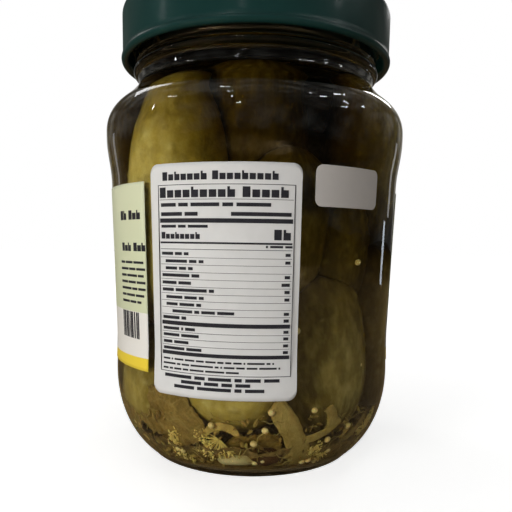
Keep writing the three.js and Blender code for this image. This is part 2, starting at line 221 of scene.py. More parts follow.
def grid_patch(points, wrap_rows=False, wrap_columns=False, **marks):
    """A grid of points (rows, columns, 3) as quads, closed round on itself where asked."""
    rows, columns = points.shape[:2]
    index = np.arange(rows * columns).reshape(rows, columns)
    if wrap_rows:
        index = np.concatenate([index, index[:1]])
    if wrap_columns:
        index = np.concatenate([index, index[:, :1]], axis=1)
    quads = np.stack([index[:-1, :-1], index[:-1, 1:], index[1:, 1:], index[1:, :-1]], axis=-1)
    flat = {k: np.broadcast_to(v, (rows, columns) + np.shape(v)[2:]) for k, v in marks.items()}
    flat = {k: v.reshape((rows * columns,) + v.shape[2:]) for k, v in flat.items()}
    return flat_patch(points, quads, flat)


def capped_patch(rings, first, last, **marks):
    """Rings joined into a tube, with a point at either end that closes it as a fan."""
    rows, columns = rings.shape[:2]
    patch = grid_patch(rings, wrap_columns=True, **marks)
    around_ring = np.arange(columns)
    onward = np.roll(around_ring, -1)
    base = (rows - 1) * columns
    tip = rows * columns
    start_fan = np.stack([onward, around_ring, 0 * onward + tip], axis=1)
    end_fan = np.stack([base + around_ring, base + onward, 0 * onward + tip + 1], axis=1)
    patch["points"] = np.concatenate([patch["points"], [first, last]])
    patch["tris"] = np.concatenate([start_fan, end_fan])
    patch["marks"] = {k: np.concatenate([v, v[:1], v[-1:]]) for k, v in patch["marks"].items()}
    return patch


def slab_patch(front, back, **marks):
    """A thin closed sheet between a front and a back grid of the same size."""
    rows, columns = front.shape[:2]
    loop = np.concatenate([front, back[::-1]])
    both = {k: np.broadcast_to(v, (rows, columns) + np.shape(v)[2:]) for k, v in marks.items()}
    both = {k: np.concatenate([v, v[::-1]]) for k, v in both.items()}
    patch = grid_patch(loop, wrap_rows=True, **both)
    index = np.arange(2 * rows * columns).reshape(2 * rows, columns)
    sides = []
    for column, flip in ((0, 1), (columns - 1, -1)):
        a, b = index[:rows, column], index[rows:, column][::-1]
        side = np.stack([a[:-1], a[1:], b[1:], b[:-1]], axis=1)
        sides.append(side[:, ::flip])
    patch["quads"] = np.concatenate([patch["quads"], *sides])
    return patch


def joined(patches):
    """Many patches as one, with their face indices moved on."""
    counts = np.cumsum([0] + [len(p["points"]) for p in patches])
    names = patches[0]["marks"].keys()
    return {
        "points": np.concatenate([p["points"] for p in patches]),
        "quads": np.concatenate([p["quads"] + n for p, n in zip(patches, counts)]),
        "tris": np.concatenate([p["tris"] + n for p, n in zip(patches, counts)]),
        "marks": {k: np.concatenate([p["marks"][k] for p in patches]) for k in names},
    }


def make_piece(name, patches, material, replaces=(), smooth=True):
    """One object that rides on the jar: the patches as a mesh in metres, their marks as attributes."""
    patch = joined(patches)
    mesh = bpy.data.meshes.new(name)
    faces = patch["quads"].tolist() + patch["tris"].tolist()
    mesh.from_pydata((patch["points"] * MM).tolist(), [], faces)
    for mark, values in patch["marks"].items():
        kind, field = ("FLOAT", "value") if values.ndim == 1 else ("FLOAT_VECTOR", "vector")
        layer = mesh.attributes.new(mark, kind, "POINT")
        layer.data.foreach_set(field, values.astype(np.float32).ravel())
    shell = bmesh.new()
    shell.from_mesh(mesh)
    bmesh.ops.recalc_face_normals(shell, faces=shell.faces)
    shell.to_mesh(mesh)
    shell.free()
    mesh.polygons.foreach_set("use_smooth", [smooth] * len(mesh.polygons))
    mesh.materials.append(material)
    piece = bpy.data.objects.new(name, mesh)
    bpy.context.scene.collection.objects.link(piece)
    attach(piece, BODY)
    if replaces:
        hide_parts(*replaces)
    return piece


# Node helpers


class Nodes:
    """A short way to fill a material, a world or a node group."""

    def __init__(self, tree):
        self.tree = tree
        tree.nodes.clear()

    def add(self, kind, values=None, **settings):
        """Adds a shader node, with settings by name and values or links by socket."""
        node = self.tree.nodes.new("ShaderNode" + kind)
        for name, value in settings.items():
            setattr(node, name, value)
        for socket, value in (values or {}).items():
            self.feed(node.inputs[socket], value)
        return node

    def feed(self, socket, value):
        """Links an output to a socket, or sets a value on it. A colour may leave out its alpha."""
        if isinstance(value, bpy.types.NodeSocket):
            self.tree.links.new(value, socket)
        elif isinstance(value, tuple) and len(socket.default_value) == len(value) + 1:
            socket.default_value = (*value, 1)
        else:
            socket.default_value = value

    def math(self, operation, first, second=0.0):
        return self.add("Math", {0: first, 1: second}, operation=operation).outputs[0]

    def mix(self, factor, first, second):
        return self.add("Mix", {0: factor, 6: first, 7: second}, data_type="RGBA").outputs[2]

    def spread(self, value, low, high, to_low=0.0, to_high=1.0):
        """A value moved from one range to another and held within it."""
        return self.add("MapRange", {0: value, 1: low, 2: high, 3: to_low, 4: to_high}).outputs[0]

    def ramp(self, factor, *colours, middle=0.5):
        """A colour ramp between two colours, or through three with the second at the middle."""
        node = self.add("ValToRGB", {0: factor})
        elements = node.color_ramp.elements
        places = (0.0, 1.0)
        if len(colours) == 3:
            elements.new(0.5)
            places = (0.0, middle, 1.0)
        for element, place, colour in zip(elements, places, colours):
            element.position = place
            element.color = (*colour, 1)
        return node.outputs[0]

    def noise(self, vector, scale, detail=3.0):
        values = {"Vector": vector, "Scale": scale, "Detail": detail, "Roughness": 0.55}
        return self.add("TexNoise", values).outputs[0]

    def place(self):
        return self.add("TexCoord").outputs["Object"]

    def mark(self, name, output="Fac"):
        """What a mesh says at each point under a name of its own."""
        return self.add("Attribute", attribute_name=name, attribute_type="GEOMETRY").outputs[output]


def mottle_group():
    """Cloudy unevenness: a coarse and a fine noise mixed, put out as a mask from 0 to 1."""
    group = bpy.data.node_groups.new("mottle", "ShaderNodeTree")
    for name, value in (("Scale", 120.0), ("Fine Share", 0.35)):
        socket = group.interface.new_socket(name, in_out="INPUT", socket_type="NodeSocketFloat")
        socket.default_value = value
    group.interface.new_socket("Mask", in_out="OUTPUT", socket_type="NodeSocketFloat")
    nodes = Nodes(group)
    given = group.nodes.new("NodeGroupInput").outputs
    place = nodes.place()
    coarse = nodes.noise(place, given["Scale"], 4.0)
    fine = nodes.noise(place, nodes.math("MULTIPLY", given["Scale"], 6.0), 3.0)
    mixed = nodes.add("Mix", {0: given["Fine Share"], 2: coarse, 3: fine}).outputs[0]
    nodes.feed(group.nodes.new("NodeGroupOutput").inputs["Mask"], nodes.spread(mixed, 0.3, 0.7))
    return group


MOTTLE = mottle_group()


class Finish(Nodes):
    """A material: its Principled shader joined to its output, and the nodes that feed it."""

    def __init__(self, name):
        self.material = bpy.data.materials.new(name)
        self.material.use_nodes = True
        super().__init__(self.material.node_tree)
        self.shader = self.add("BsdfPrincipled")
        self.output = self.add("OutputMaterial", {"Surface": self.shader.outputs[0]})

    def set(self, **values):
        """Sets or links the shader's sockets by name, with underscores for spaces."""
        for name, value in values.items():
            self.feed(self.shader.inputs[name.replace("_", " ")], value)

    def mottle(self, scale, fine_share=0.35):
        """The mottle group's mask at a scale of its own."""
        values = {"Scale": scale, "Fine Share": fine_share}
        return self.add("Group", values, node_tree=MOTTLE).outputs[0]

    def relief(self, scale, detail, strength, distance, vector=None):
        """Fine bumps from a noise."""
        grain = self.noise(vector or self.place(), scale, detail)
        values = {"Height": grain, "Strength": strength, "Distance": distance}
        self.set(Normal=self.add("Bump", values).outputs[0])


# Finishes


def let_lamps_through(look, tint):
    """Shadow rays pass straight through, so that the lamps reach what glass and brine hold."""
    clear = look.add("BsdfTransparent", {"Color": tint})
    path = look.add("LightPath").outputs["Is Shadow Ray"]
    mix = look.add("MixShader", {0: path, 1: look.shader.outputs[0], 2: clear.outputs[0]})
    look.feed(look.output.inputs["Surface"], mix.outputs[0])


def glass_material():
    """Clear glass with broad, very low waves, as pressed glass has."""
    look = Finish("clear_glass")
    look.set(Base_Color=(0.97, 0.985, 0.97), Roughness=0.0, IOR=1.5, Transmission_Weight=1.0)
    look.relief(70.0, 2.0, 0.25, 0.0006)
    let_lamps_through(look, (0.93, 0.95, 0.93))
    return look.material


def brine_material():
    """Clear brine that soaks up blue and some green on the way through."""
    look = Finish("brine")
    look.set(Base_Color=(1.0, 1.0, 1.0), Roughness=0.0, IOR=1.34, Transmission_Weight=1.0)
    let_lamps_through(look, (1.0, 1.0, 1.0))
    soak = look.add("VolumeAbsorption", {"Color": (0.61, 0.54, 0.175), "Density": 160.0})
    look.feed(look.output.inputs["Volume"], soak.outputs[0])
    return look.material


def clouded(name, scale, dark, light, relief=None, fine_share=0.35, **values):
    """A colour that wanders between two by cloudy unevenness, with a fine relief where it has one."""
    look = Finish(name)
    look.set(Base_Color=look.ramp(look.mottle(scale, fine_share), dark, light), **values)
    if relief:
        look.relief(*relief)
    return look.material


# The surface of soft plant matter that lies in brine
WET = {"Subsurface_Weight": 0.15, "Subsurface_Scale": 0.002, "Specular_IOR_Level": 0.15}


def plant_material(name, dark, light, scale, roughness=0.5, relief=0.4):
    """Wet plant matter: two colours mixed by cloudy unevenness, with a relief eight times as fine."""
    grain = (scale * 8, 3.0, relief, 0.0003)
    return clouded(name, scale, dark, light, grain, Roughness=roughness, **WET)


def paper_material(name, colour, roughness, coat=0.0):
    """Sticker paper: an almost even colour, faint cloud and fibre, and a varnish where it has one."""
    darker = tuple(0.93 * c for c in colour)
    fibre = (2600.0, 2.0, 0.12, 0.0001)
    surface = {"Roughness": roughness, "Specular_IOR_Level": 0.35}
    varnish = {"Coat_Weight": coat, "Coat_Roughness": 0.25}
    return clouded(name, 60.0, darker, colour, fibre, 0.5, **surface, **varnish)


def enamel_material():
    """Dark green enamel, slightly uneven as a rolled coat is."""
    dark, light = (0.004, 0.026, 0.024), (0.008, 0.038, 0.035)
    surface = {"Roughness": 0.4, "Specular_IOR_Level": 0.25}
    varnish = {"Coat_Weight": 0.1, "Coat_Roughness": 0.15}
    relief = (700.0, 2.0, 0.08, 0.0002)
    return clouded("green_enamel", 40.0, dark, light, relief, 0.3, **surface, **varnish)


def liner_material():
    """Pale sealing compound."""
    dark, light = (0.5, 0.42, 0.26), (0.62, 0.53, 0.34)
    return clouded("cap_liner", 80.0, dark, light, Roughness=0.6, Specular_IOR_Level=0.3)


def ink_material():
    """Nearly black ink, blotchy at the scale of the paper's grain."""
    dark, light = (0.012, 0.013, 0.018), (0.035, 0.035, 0.042)
    surface = {"Roughness": 0.5, "Specular_IOR_Level": 0.3}
    return clouded("print_ink", 500.0, dark, light, None, 0.5, **surface)


def gherkin_material():
    """Pickled skin: pale or dark by its tone, partly the skin's own colour and partly painted shade,
    with blotches, lengthwise streaks and pale warts.
    """
    look = Finish("gherkin_skin")
    cloud = look.mottle(85.0, 0.25)
    pale = ((0.27, 0.188, 0.034), (0.46, 0.338, 0.072), (0.6, 0.455, 0.125))
    light = look.ramp(cloud, *pale, middle=0.55)
    dark = look.ramp(cloud, (0.06, 0.042, 0.009), (0.17, 0.117, 0.024))
    # The tone mark mixes a dark and a pale skin: partly the skin's own colour, partly painted shade on
    # gherkins that lie in shadow
    skin = look.mix(look.mark("tone"), dark, light)
    along = {"Vector": look.mark("along", "Vector"), "Scale": (9.0, 0.9, 1.0)}
    stripe = look.spread(look.noise(look.add("Mapping", along).outputs[0], 3.0, 4.0), 0.42, 0.7)
    skin = look.mix(look.math("MULTIPLY", stripe, 0.45), skin, (0.62, 0.5, 0.18))
    blotch = look.spread(look.noise(look.place(), 190.0, 3.0), 0.52, 0.66)
    skin = look.mix(look.math("MULTIPLY", blotch, 0.4), skin, (0.13, 0.095, 0.02))
    skin = look.mix(look.math("MULTIPLY", look.mark("wart"), 0.4), skin, (0.7, 0.6, 0.28))
    look.set(Base_Color=skin, Roughness=0.42, Specular_IOR_Level=0.12)
    look.set(Subsurface_Weight=0.25, Subsurface_Scale=0.003, Subsurface_Radius=(1.0, 0.7, 0.25))
    look.relief(900.0, 3.0, 0.4, 0.0005)
    return look.material


def leaf_material():
    """A mottled olive-brown blade with thin paler veins, where the leaf's own mark puts them."""
    look = Finish("vine_leaf")
    browns = ((0.12, 0.078, 0.02), (0.28, 0.18, 0.05), (0.4, 0.27, 0.08))
    blade = look.ramp(look.mottle(190.0, 0.45), *browns, middle=0.6)
    vein = look.math("MULTIPLY", look.mark("vein"), 0.45)
    look.set(Base_Color=look.mix(vein, blade, (0.42, 0.31, 0.11)), Roughness=0.5)
    look.set(Specular_IOR_Level=0.15, Subsurface_Weight=0.1, Subsurface_Scale=0.001)
    look.relief(1500.0, 3.0, 0.4, 0.0004)
    return look.material


def stalk_material():
    """Lengthwise fibres over a colour that the strip's own tone lightens."""
    look = Finish("stalk")
    cloud = look.mottle(260.0)
    dark = look.ramp(cloud, (0.09, 0.06, 0.018), (0.2, 0.135, 0.04))
    light = look.ramp(cloud, (0.3, 0.205, 0.055), (0.58, 0.42, 0.14))
    look.set(Base_Color=look.mix(look.mark("tone"), dark, light), Roughness=0.5, **WET)
    stretched = look.add("Mapping", {"Vector": look.place(), "Scale": (1.0, 1.0, 0.2)})
    look.relief(1400.0, 3.0, 0.5, 0.0004, stretched.outputs[0])
    return look.material


# Where the wrap label's fields lie, as shares of its length and its height
BANDS = Sizes(green_from=0.315, yellow_to=0.075, yellow_wave=0.012)
OVAL = Sizes(across=0.42, height=0.56, half_wide=0.2, half_tall=0.36, inside_edge=0.86)


def wrap_label_material():
    """The wrap label's print: green above, white below, a wavy yellow edge and an edged oval."""
    look = Finish("wrap_label_print")
    split = look.add("SeparateXYZ", {0: look.mark("place", "Vector")})
    across, height = split.outputs[0], split.outputs[1]
    white, yellow = (0.82, 0.81, 0.77), (0.86, 0.66, 0.06)
    green = look.ramp(height, (0.62, 0.67, 0.45), (0.7, 0.74, 0.52))
    field = look.mix(look.math("GREATER_THAN", height, BANDS.green_from), white, green)
    wave = look.math("SINE", look.math("MULTIPLY", across, 9.0))
    edge = look.math("ADD", height, look.math("MULTIPLY", wave, BANDS.yellow_wave))
    field = look.mix(look.math("LESS_THAN", edge, BANDS.yellow_to), field, yellow)
    wide = look.math("DIVIDE", look.math("SUBTRACT", across, OVAL.across), OVAL.half_wide)
    tall = look.math("DIVIDE", look.math("SUBTRACT", height, OVAL.height), OVAL.half_tall)
    oval = look.math("ADD", look.math("POWER", wide, 2.0), look.math("POWER", tall, 2.0))
    for limit, colour in ((1.0, (0.045, 0.16, 0.06)), (OVAL.inside_edge, (0.3, 0.42, 0.12))):
        field = look.mix(look.math("LESS_THAN", oval, limit), field, colour)
    look.set(Base_Color=field, Roughness=0.42, Specular_IOR_Level=0.4)
    look.set(Coat_Weight=0.2, Coat_Roughness=0.2)
    look.relief(2600.0, 2.0, 0.1, 0.0001)
    return look.material


# The glass, the brine and the cap


def glass_wave(bearing, height):
    """Very slight unevenness of pressed glass, with a raised line at each mould seam."""
    b = np.radians(bearing)
    swell = 0.035 * np.sin(2 * b + 0.05 * height) + 0.02 * np.sin(5 * b - 0.11 * height + 1)
    fade = np.clip((height - 4) / 8, 0, 1)
    ridge = 0
    for seam in SEAMS:
        off = (bearing - seam + 180) % 360 - 180
        ridge = ridge + SEAM_HEIGHT * np.exp(-((off / 0.45) ** 2))
    return (swell + ridge) * fade


def inner_wave(bearing, height):
    """The inner face wanders more than the outer one, as it never touched the mould."""
    b = np.radians(bearing)
    wander = 0.1 * np.sin(2 * b + 0.07 * height + 2) + 0.06 * np.sin(3 * b - 0.1 * height)
    ripple = 0.03 * np.sin(9 * b + 0.21 * height) + 0.03 * np.sin(0.33 * height + 4 * b)
    return (wander + ripple) * np.clip((height - 8) / 8, 0, 1)


def finish_line():
    """The neck above the shoulder: bead, thread and rounded lip, up and over into the bore."""
    radius, thread, turn = FINISH.radius, FINISH.thread, FINISH.thread_height
    bead = NECK.bead_height
    top, bore = FINISH.top, FINISH.bore
    return np.concatenate(
        [
            arc(NECK.radius, bead, NECK.bead - NECK.radius, 1.4, -80, 80, 10),
            ease(NECK.radius, bead + 1.4, radius, bead + 2.4, 4),
            [[radius, turn - 1.4]],
            arc(radius, turn, thread - radius, 1.2, -80, 80, 8),
            [[radius, top - 1]],
            arc(radius - 1, top - 1, 1, 1, 10, 90, 5),
            arc(bore + 0.8, top - 0.8, 0.8, 0.8, 90, 180, 5),
            [[bore, bead + 4]],
        ]
    )


def glass_piece(material):
    """One closed shell: pushed-up foot, outer face, finish, then down the inner face to the floor."""
    bearings = seam_bearings()
    foot = [
        [FOOT.inner * 0.4, FOOT.push_up * 0.94],
        [FOOT.inner * 0.8, FOOT.push_up * 0.62],
        [FOOT.inner - 1.2, 0.5],
        [FOOT.inner, 0.08],
        [FOOT.inner + 0.8, 0],
        [FOOT.outer - 0.6, 0],
        [FOOT.outer + 0.2, 0.25],
    ]
    outside = turned(np.concatenate([foot, OUTER]), bearings, glass_wave)
    finish = turned(finish_line(), bearings)
    inside = turned(INNER[::-1], bearings, inner_wave)
    rings = np.concatenate([outside, finish, inside])
    patch = capped_patch(rings, (0, 0, FOOT.push_up), (0, 0, WALL.base + WALL.floor_rise))
    return make_piece("jar_glass", [patch], material, ["glass_jar"])


def brine_piece(material):
    """All the liquid: the inner face grown a little into the wall, closed by a level top in the neck."""
    bearings = seam_bearings()
    line = INNER[INNER[:, 1] < BRINE_LEVEL - 0.5] + [BRINE_INTO_WALL, 0]
    line[:, 1] = np.maximum(line[:, 1] - BRINE_INTO_WALL * (line[:, 1] < WALL.base + 3), 0)
    neck = float(line[-1, 0])
    top = [[neck, BRINE_LEVEL], [neck - 0.6, BRINE_LEVEL - 0.5], [neck - 2.5, BRINE_LEVEL - 0.75]]
    rings = turned(np.concatenate([line, top]), bearings, inner_wave)
    floor = WALL.base + WALL.floor_rise - BRINE_INTO_WALL
    patch = capped_patch(rings, (0, 0, floor), (0, 0, BRINE_LEVEL - 0.75))
    return make_piece("brine", [patch], material)


def lid_piece(material):
    """The cap: a stepped panel, a rounded corner, the skirt, its curl, and lugs under the thread."""
    bearings = even_bearings(192)
    curl_r = LID.skirt + 0.45 - LID.curl
    curl_z = LID.rim + LID.curl
    inner = LID.skirt - LID.sheet
    liner = FINISH.top + 0.3
    panel = LID.top - LID_PANEL.drop
    line = np.concatenate(
        [
            [[4, panel + LID_PANEL.button_rise]],
            ease(LID_PANEL.button - 3, panel + LID_PANEL.button_rise, LID_PANEL.button, panel, 5),
            [[LID_PANEL.radius - 1, panel]],
            [[LID_PANEL.radius - 0.2, panel + 0.15], [LID_PANEL.radius + 0.9, LID.top - 0.1]],
            [[LID_PANEL.radius + 1.6, LID.top]],
            arc(LID.skirt - LID.corner, LID.top - LID.corner, LID.corner, LID.corner, 90, 0, 9),
            [[LID.skirt, LID.top - 7], [LID.skirt, curl_z + 2.2]],
            arc(curl_r, curl_z, LID.curl, LID.curl, 60, -230, 22),
            [[inner, curl_z + 1.4], [inner, liner - 0.7], [inner - 0.7, liner]],
            [[LID_PANEL.radius - 0.4, liner], [LID_PANEL.radius - 1, panel - LID.sheet]],
            [[4, panel - LID.sheet]],
        ]
    )
    middle, under = (0, 0, panel + LID_PANEL.button_rise), (0, 0, panel - LID.sheet)
    shell = capped_patch(turned(line, bearings), middle, under)
    reach = curl_r - LUGS.depth / 2 - 0.3
    half = math.degrees(LUGS.width / 2 / reach)
    apart = 360 / LUGS.count
    lugs = [lug_patch(apart * (i + 0.5), half, reach, curl_z + 0.1) for i in range(LUGS.count)]
    return make_piece("cap", [shell, *lugs], material, ["twist_lid"])


def lug_patch(bearing, half, reach, height):
    """A lug: a low oval bead that follows the curl between two bearings and tapers at its ends."""
    t = np.linspace(-1, 1, 13)
    a = np.radians(np.linspace(0, 360, 12, endpoint=False))
    swell = np.sqrt(1 - 0.96 * t**2)[:, None]
    r = reach + np.cos(a) * LUGS.depth / 2 * swell
    z = height + np.sin(a) * LUGS.height / 2 * swell
    rings = around((bearing + half * t)[:, None] + 0 * r, r, z)
    return capped_patch(rings, rings[0].mean(axis=0), rings[-1].mean(axis=0))


def liner_piece(material):
    """The sealing ring inside the cap, over the lip of the glass."""
    bearings = even_bearings(128)
    middle = (FINISH.bore + FINISH.radius) / 2
    low = FINISH.top + 0.02
    section = arc(middle, low + 0.11, 2.6, 0.11, 0, 345, 23)
    ring = grid_patch(turned(section, bearings), wrap_rows=True, wrap_columns=True)
    return make_piece("cap_liner", [ring], material)


# The pickles


def gherkin_frame(item):
    """The middle, the turn from upright and the bow direction of one gherkin."""
    axis = around(item.way + 90, 1.0, 0.0)
    turn = np.array(Matrix.Rotation(math.radians(item.lean), 3, axis.tolist()))
    return around(item.bearing, item.reach, item.height), turn, around(item.bearing, 1.0, 0.0)[:2]


def gherkin_radius(share, girth):
    """The radius at a share of the length: girth / 2 * (1 - |2t - 1| ^ blunt) ^ 0.5."""
    form = np.clip(1 - np.abs(2 * share - 1) ** GHERKIN_FORM.blunt, 0, None)
    return girth / 2 * np.sqrt(form)


def gherkin_measure(points, item):
    """How far out in a gherkin points lie: 0 on its bowed axis, 1 at its skin, more past its ends."""
    middle, turn, out = gherkin_frame(item)
    local = (points - middle) @ turn
    bow = item.bend * (1 - (2 * local[:, 2] / item.length) ** 2)
    off = np.hypot(local[:, 0] - bow * out[0], local[:, 1] - bow * out[1])
    share = local[:, 2] / item.length + 0.5
    radius = gherkin_radius(np.clip(share, 0, 1), item.girth)
    past = np.clip(np.abs(share - 0.5) - 0.5, 0, None)
    return off / np.maximum(radius, 0.12 * item.girth) + 60 * past


# Neighbours are drawn back a little more than to where they meet, so that they stay apart
HAIR_LESS = 0.985


def squeezed(points, anchors, item, others):
    """Points in a neighbour are drawn back, by halving, to where they are as far out of either."""
    kept = np.ones(len(points))
    for other in others:
        near = gherkin_measure(points, other) < 1.02
        if not near.any():
            continue
        low, high = np.zeros(near.sum()), kept[near]
        for _ in range(14):
            middle = (low + high) / 2
            trial = anchors[near] + (points[near] - anchors[near]) * middle[:, None]
            inside = gherkin_measure(trial, item) <= gherkin_measure(trial, other)
            low, high = np.where(inside, middle, low), np.where(inside, high, middle)
        kept[near] = np.minimum(kept[near], low * HAIR_LESS)
    return anchors + (points - anchors) * kept[:, None]


def held_by_wall(points, gap):
    """Points past the inner face, less a gap, are pressed back onto it."""
    limit = inner_reach(points[:, 2]) - gap
    off = np.hypot(points[:, 0], points[:, 1])
    scale = np.minimum(1, limit / np.maximum(off, 1e-6))
    pressed = points.copy()
    pressed[:, :2] *= scale[:, None]
    return pressed


def wart_field(phi, z, radius, length, rng):
    """Low round warts strewn over a skin: the sum of size * exp(-(distance / (0.75 size))^2)."""
    ranges = ((0.08, 0.92), (0, 2 * np.pi), (0.6, 1.3))
    spots = [rng.uniform(low, high, GHERKIN_FORM.warts) for low, high in ranges]
    wart = 0 * z
    for share, bearing, size in zip(*spots):
        across = ((phi - bearing + np.pi) % (2 * np.pi) - np.pi)[None] * radius
        off = np.hypot(across, z - (share - 0.5) * length)
        wart = wart + size * np.exp(-((off / (0.75 * size)) ** 2))
    return wart


def gherkin_patch(item, index, rng):
    """A gherkin: lobed, warty, slightly wrinkled rings along its length, squeezed by its neighbours."""
    rows, columns, length = 110, 84, item.length
    t = (1 - np.cos(np.linspace(0.03, np.pi - 0.03, rows))) / 2
    phi = circle(columns)
    radius = gherkin_radius(t, item.girth)[:, None]
    lobes = 1 + GHERKIN_FORM.lobe_depth * np.cos(GHERKIN_FORM.lobes * phi + rng.uniform(0, 6.28))[None]
    taper = 1 + 0.05 * rng.uniform(-1, 1) * (2 * t - 1)[:, None]
    furrow = 0.16 * np.sin(10 * phi[None] + 2.2 * np.sin(4 * t[:, None]) + index)
    r = radius * lobes * taper + furrow * np.sin(np.pi * t)[:, None]
    z = (t - 0.5)[:, None] * length + 0 * r
    wart = wart_field(phi, z, radius, length, rng)
    r = r + GHERKIN_FORM.wart_height * wart
    middle, turn, out = gherkin_frame(item)
    bow = item.bend * (1 - (2 * z / length) ** 2)
    local = np.stack([r * np.cos(phi) + bow * out[0], r * np.sin(phi) + bow * out[1], z], axis=-1)
    core = np.stack([bow * out[0], bow * out[1], z * CORE_SHARE], axis=-1)
    ends = np.array([[0, 0, -length / 2], [0, 0, length / 2]])
    world = np.concatenate([local.reshape(-1, 3), ends]) @ turn.T + middle
    anchors = np.concatenate([core.reshape(-1, 3), CORE_SHARE * ends]) @ turn.T + middle
    others = [other for other in GHERKINS if other is not item]
    world = held_by_wall(squeezed(world, anchors, item, others), OFF_WALL)
    rings = world[:-2].reshape(rows, columns, 3)
    along = np.stack([phi / 6.28 + 0 * r, z / 20 + index, 0 * z], axis=-1)
    marks = {"tone": 0 * r + item.tone, "along": along, "wart": np.clip(wart, 0, 1)}
    return capped_patch(rings, world[-2], world[-1], **marks)


def gherkins_piece(material):
    """All the gherkins, their warts strewn in the order of the list."""
    rng = np.random.default_rng(11)
    patches = [gherkin_patch(item, i, rng) for i, item in enumerate(GHERKINS)]
    return make_piece("gherkins", patches, material, ["cucumber_heap"])


def core_piece(material):
    """Painted shade: a dark column in the middle that stands in for the shade between the gherkins, so
    that no light shows there.
    """
    bottom, top = HEAP_CORE.bottom, HEAP_CORE.top
    t = np.linspace(0, 1, 20)
    r = HEAP_CORE.radius * np.sqrt(1 - 0.9 * (2 * t - 1) ** 6) - 3 * t
    line = np.stack([r, bottom + (top - bottom) * t], axis=1)
    rings = turned(line, even_bearings(40), lambda b, z: 1.2 * np.sin(3 * np.radians(b) + 0.1 * z))
    core = capped_patch(rings, (0, 0, bottom), (0, 0, top))
    return make_piece("painted_shade_core", [core], material)


# The seasoning at the bottom


BED = Sizes(crown=8.6, rise=2.4, reach=39.0)


def bed_piece(material):
    """A low mound of fine bits: a crown with waves and grain, which rises a little towards the wall."""
    rows, columns = 90, 160
    share = np.linspace(0.02, 1, rows)[:, None]
    b = circle(columns)[None]
    reach = BED.reach * share
    x, y = np.sin(b) * reach, -np.cos(b) * reach
    waves = 1.3 * np.sin(x * 0.42 + 1) * np.cos(y * 0.37) + 0.8 * np.sin(x * y * 0.01)
    grain = 0.5 * np.sin(x * 2.1 + 3 * np.sin(y * 0.9)) * np.cos(y * 2.3 + 2 * np.sin(x * 0.8))
    grain = grain + 0.3 * np.sin(x * 4.7 + y * 3.1) * np.cos(y * 5.3 - x * 2.2)
    z = BED.crown + waves + grain + BED.rise * share**4
    top = np.stack([x, y, z], axis=-1)
    floor = WALL.base + 0.5 + WALL.floor_rise * (1 - share[::-1] ** 2)
    under = np.stack([x[::-1], y[::-1], floor + 0 * z], axis=-1)
    points = np.concatenate([top, under]).reshape(-1, 3)
    pressed = held_by_wall(points, 0.3).reshape(2 * rows, columns, 3)
    patch = capped_patch(pressed, (0, 0, BED.crown), (0, 0, WALL.base + WALL.floor_rise + 0.6))
    return make_piece("spice_bed", [patch], material, ["seasoning_heap"])


def pebble_patch(middle, axes, rows=7, columns=10, **marks):
    """A rounded bit: rings of an ellipsoid on three half axes given as vectors."""
    t = np.linspace(0.18, np.pi - 0.18, rows)[:, None]
    phi = circle(columns)[None]
    unit = np.stack([np.sin(t) * np.cos(phi), np.sin(t) * np.sin(phi), np.cos(t) + 0 * phi], axis=-1)
    axes = np.asarray(axes, float)
    return capped_patch(unit @ axes + middle, middle + axes[2], middle - axes[2], **marks)


def tube_patch(path, radius, columns=8, flat=1.0, **marks):
    """A round or flattened tube along a path of points, its radius given for each point."""
    path = np.asarray(path, float)
    heading = np.gradient(path, axis=0)
    heading /= np.linalg.norm(heading, axis=1)[:, None]
    outward = path * [1, 1, 0] + [1e-6, 0, 0]
    side = np.cross(heading, outward)
    side /= np.linalg.norm(side, axis=1)[:, None]
    depth = np.cross(side, heading)
    phi = circle(columns)[None, :, None]
    r = np.broadcast_to(np.asarray(radius, float), (len(path),))[:, None, None]
    rings = path[:, None] + r * (np.cos(phi) * side[:, None] + flat * np.sin(phi) * depth[:, None])
    return capped_patch(rings, path[0] - heading[0] * 0.05, path[-1] + heading[-1] * 0.05, **marks)


def near_wall(bearing, height, inset):
    """A point at an inset from the inner face."""
    return around(bearing, inner_reach(height) - inset, height)


def tumbled(rng):
    """Three axes at right angles, turned at random."""
    return np.linalg.qr(rng.standard_normal((3, 3)))[0]


def loose_piece(name, patches, gap, material):
    """Many small bits as one piece of the seasoning, pressed inside the glass."""
    held = joined(patches)
    held["points"] = held_by_wall(held["points"], gap)
    return make_piece(name, [held], material)


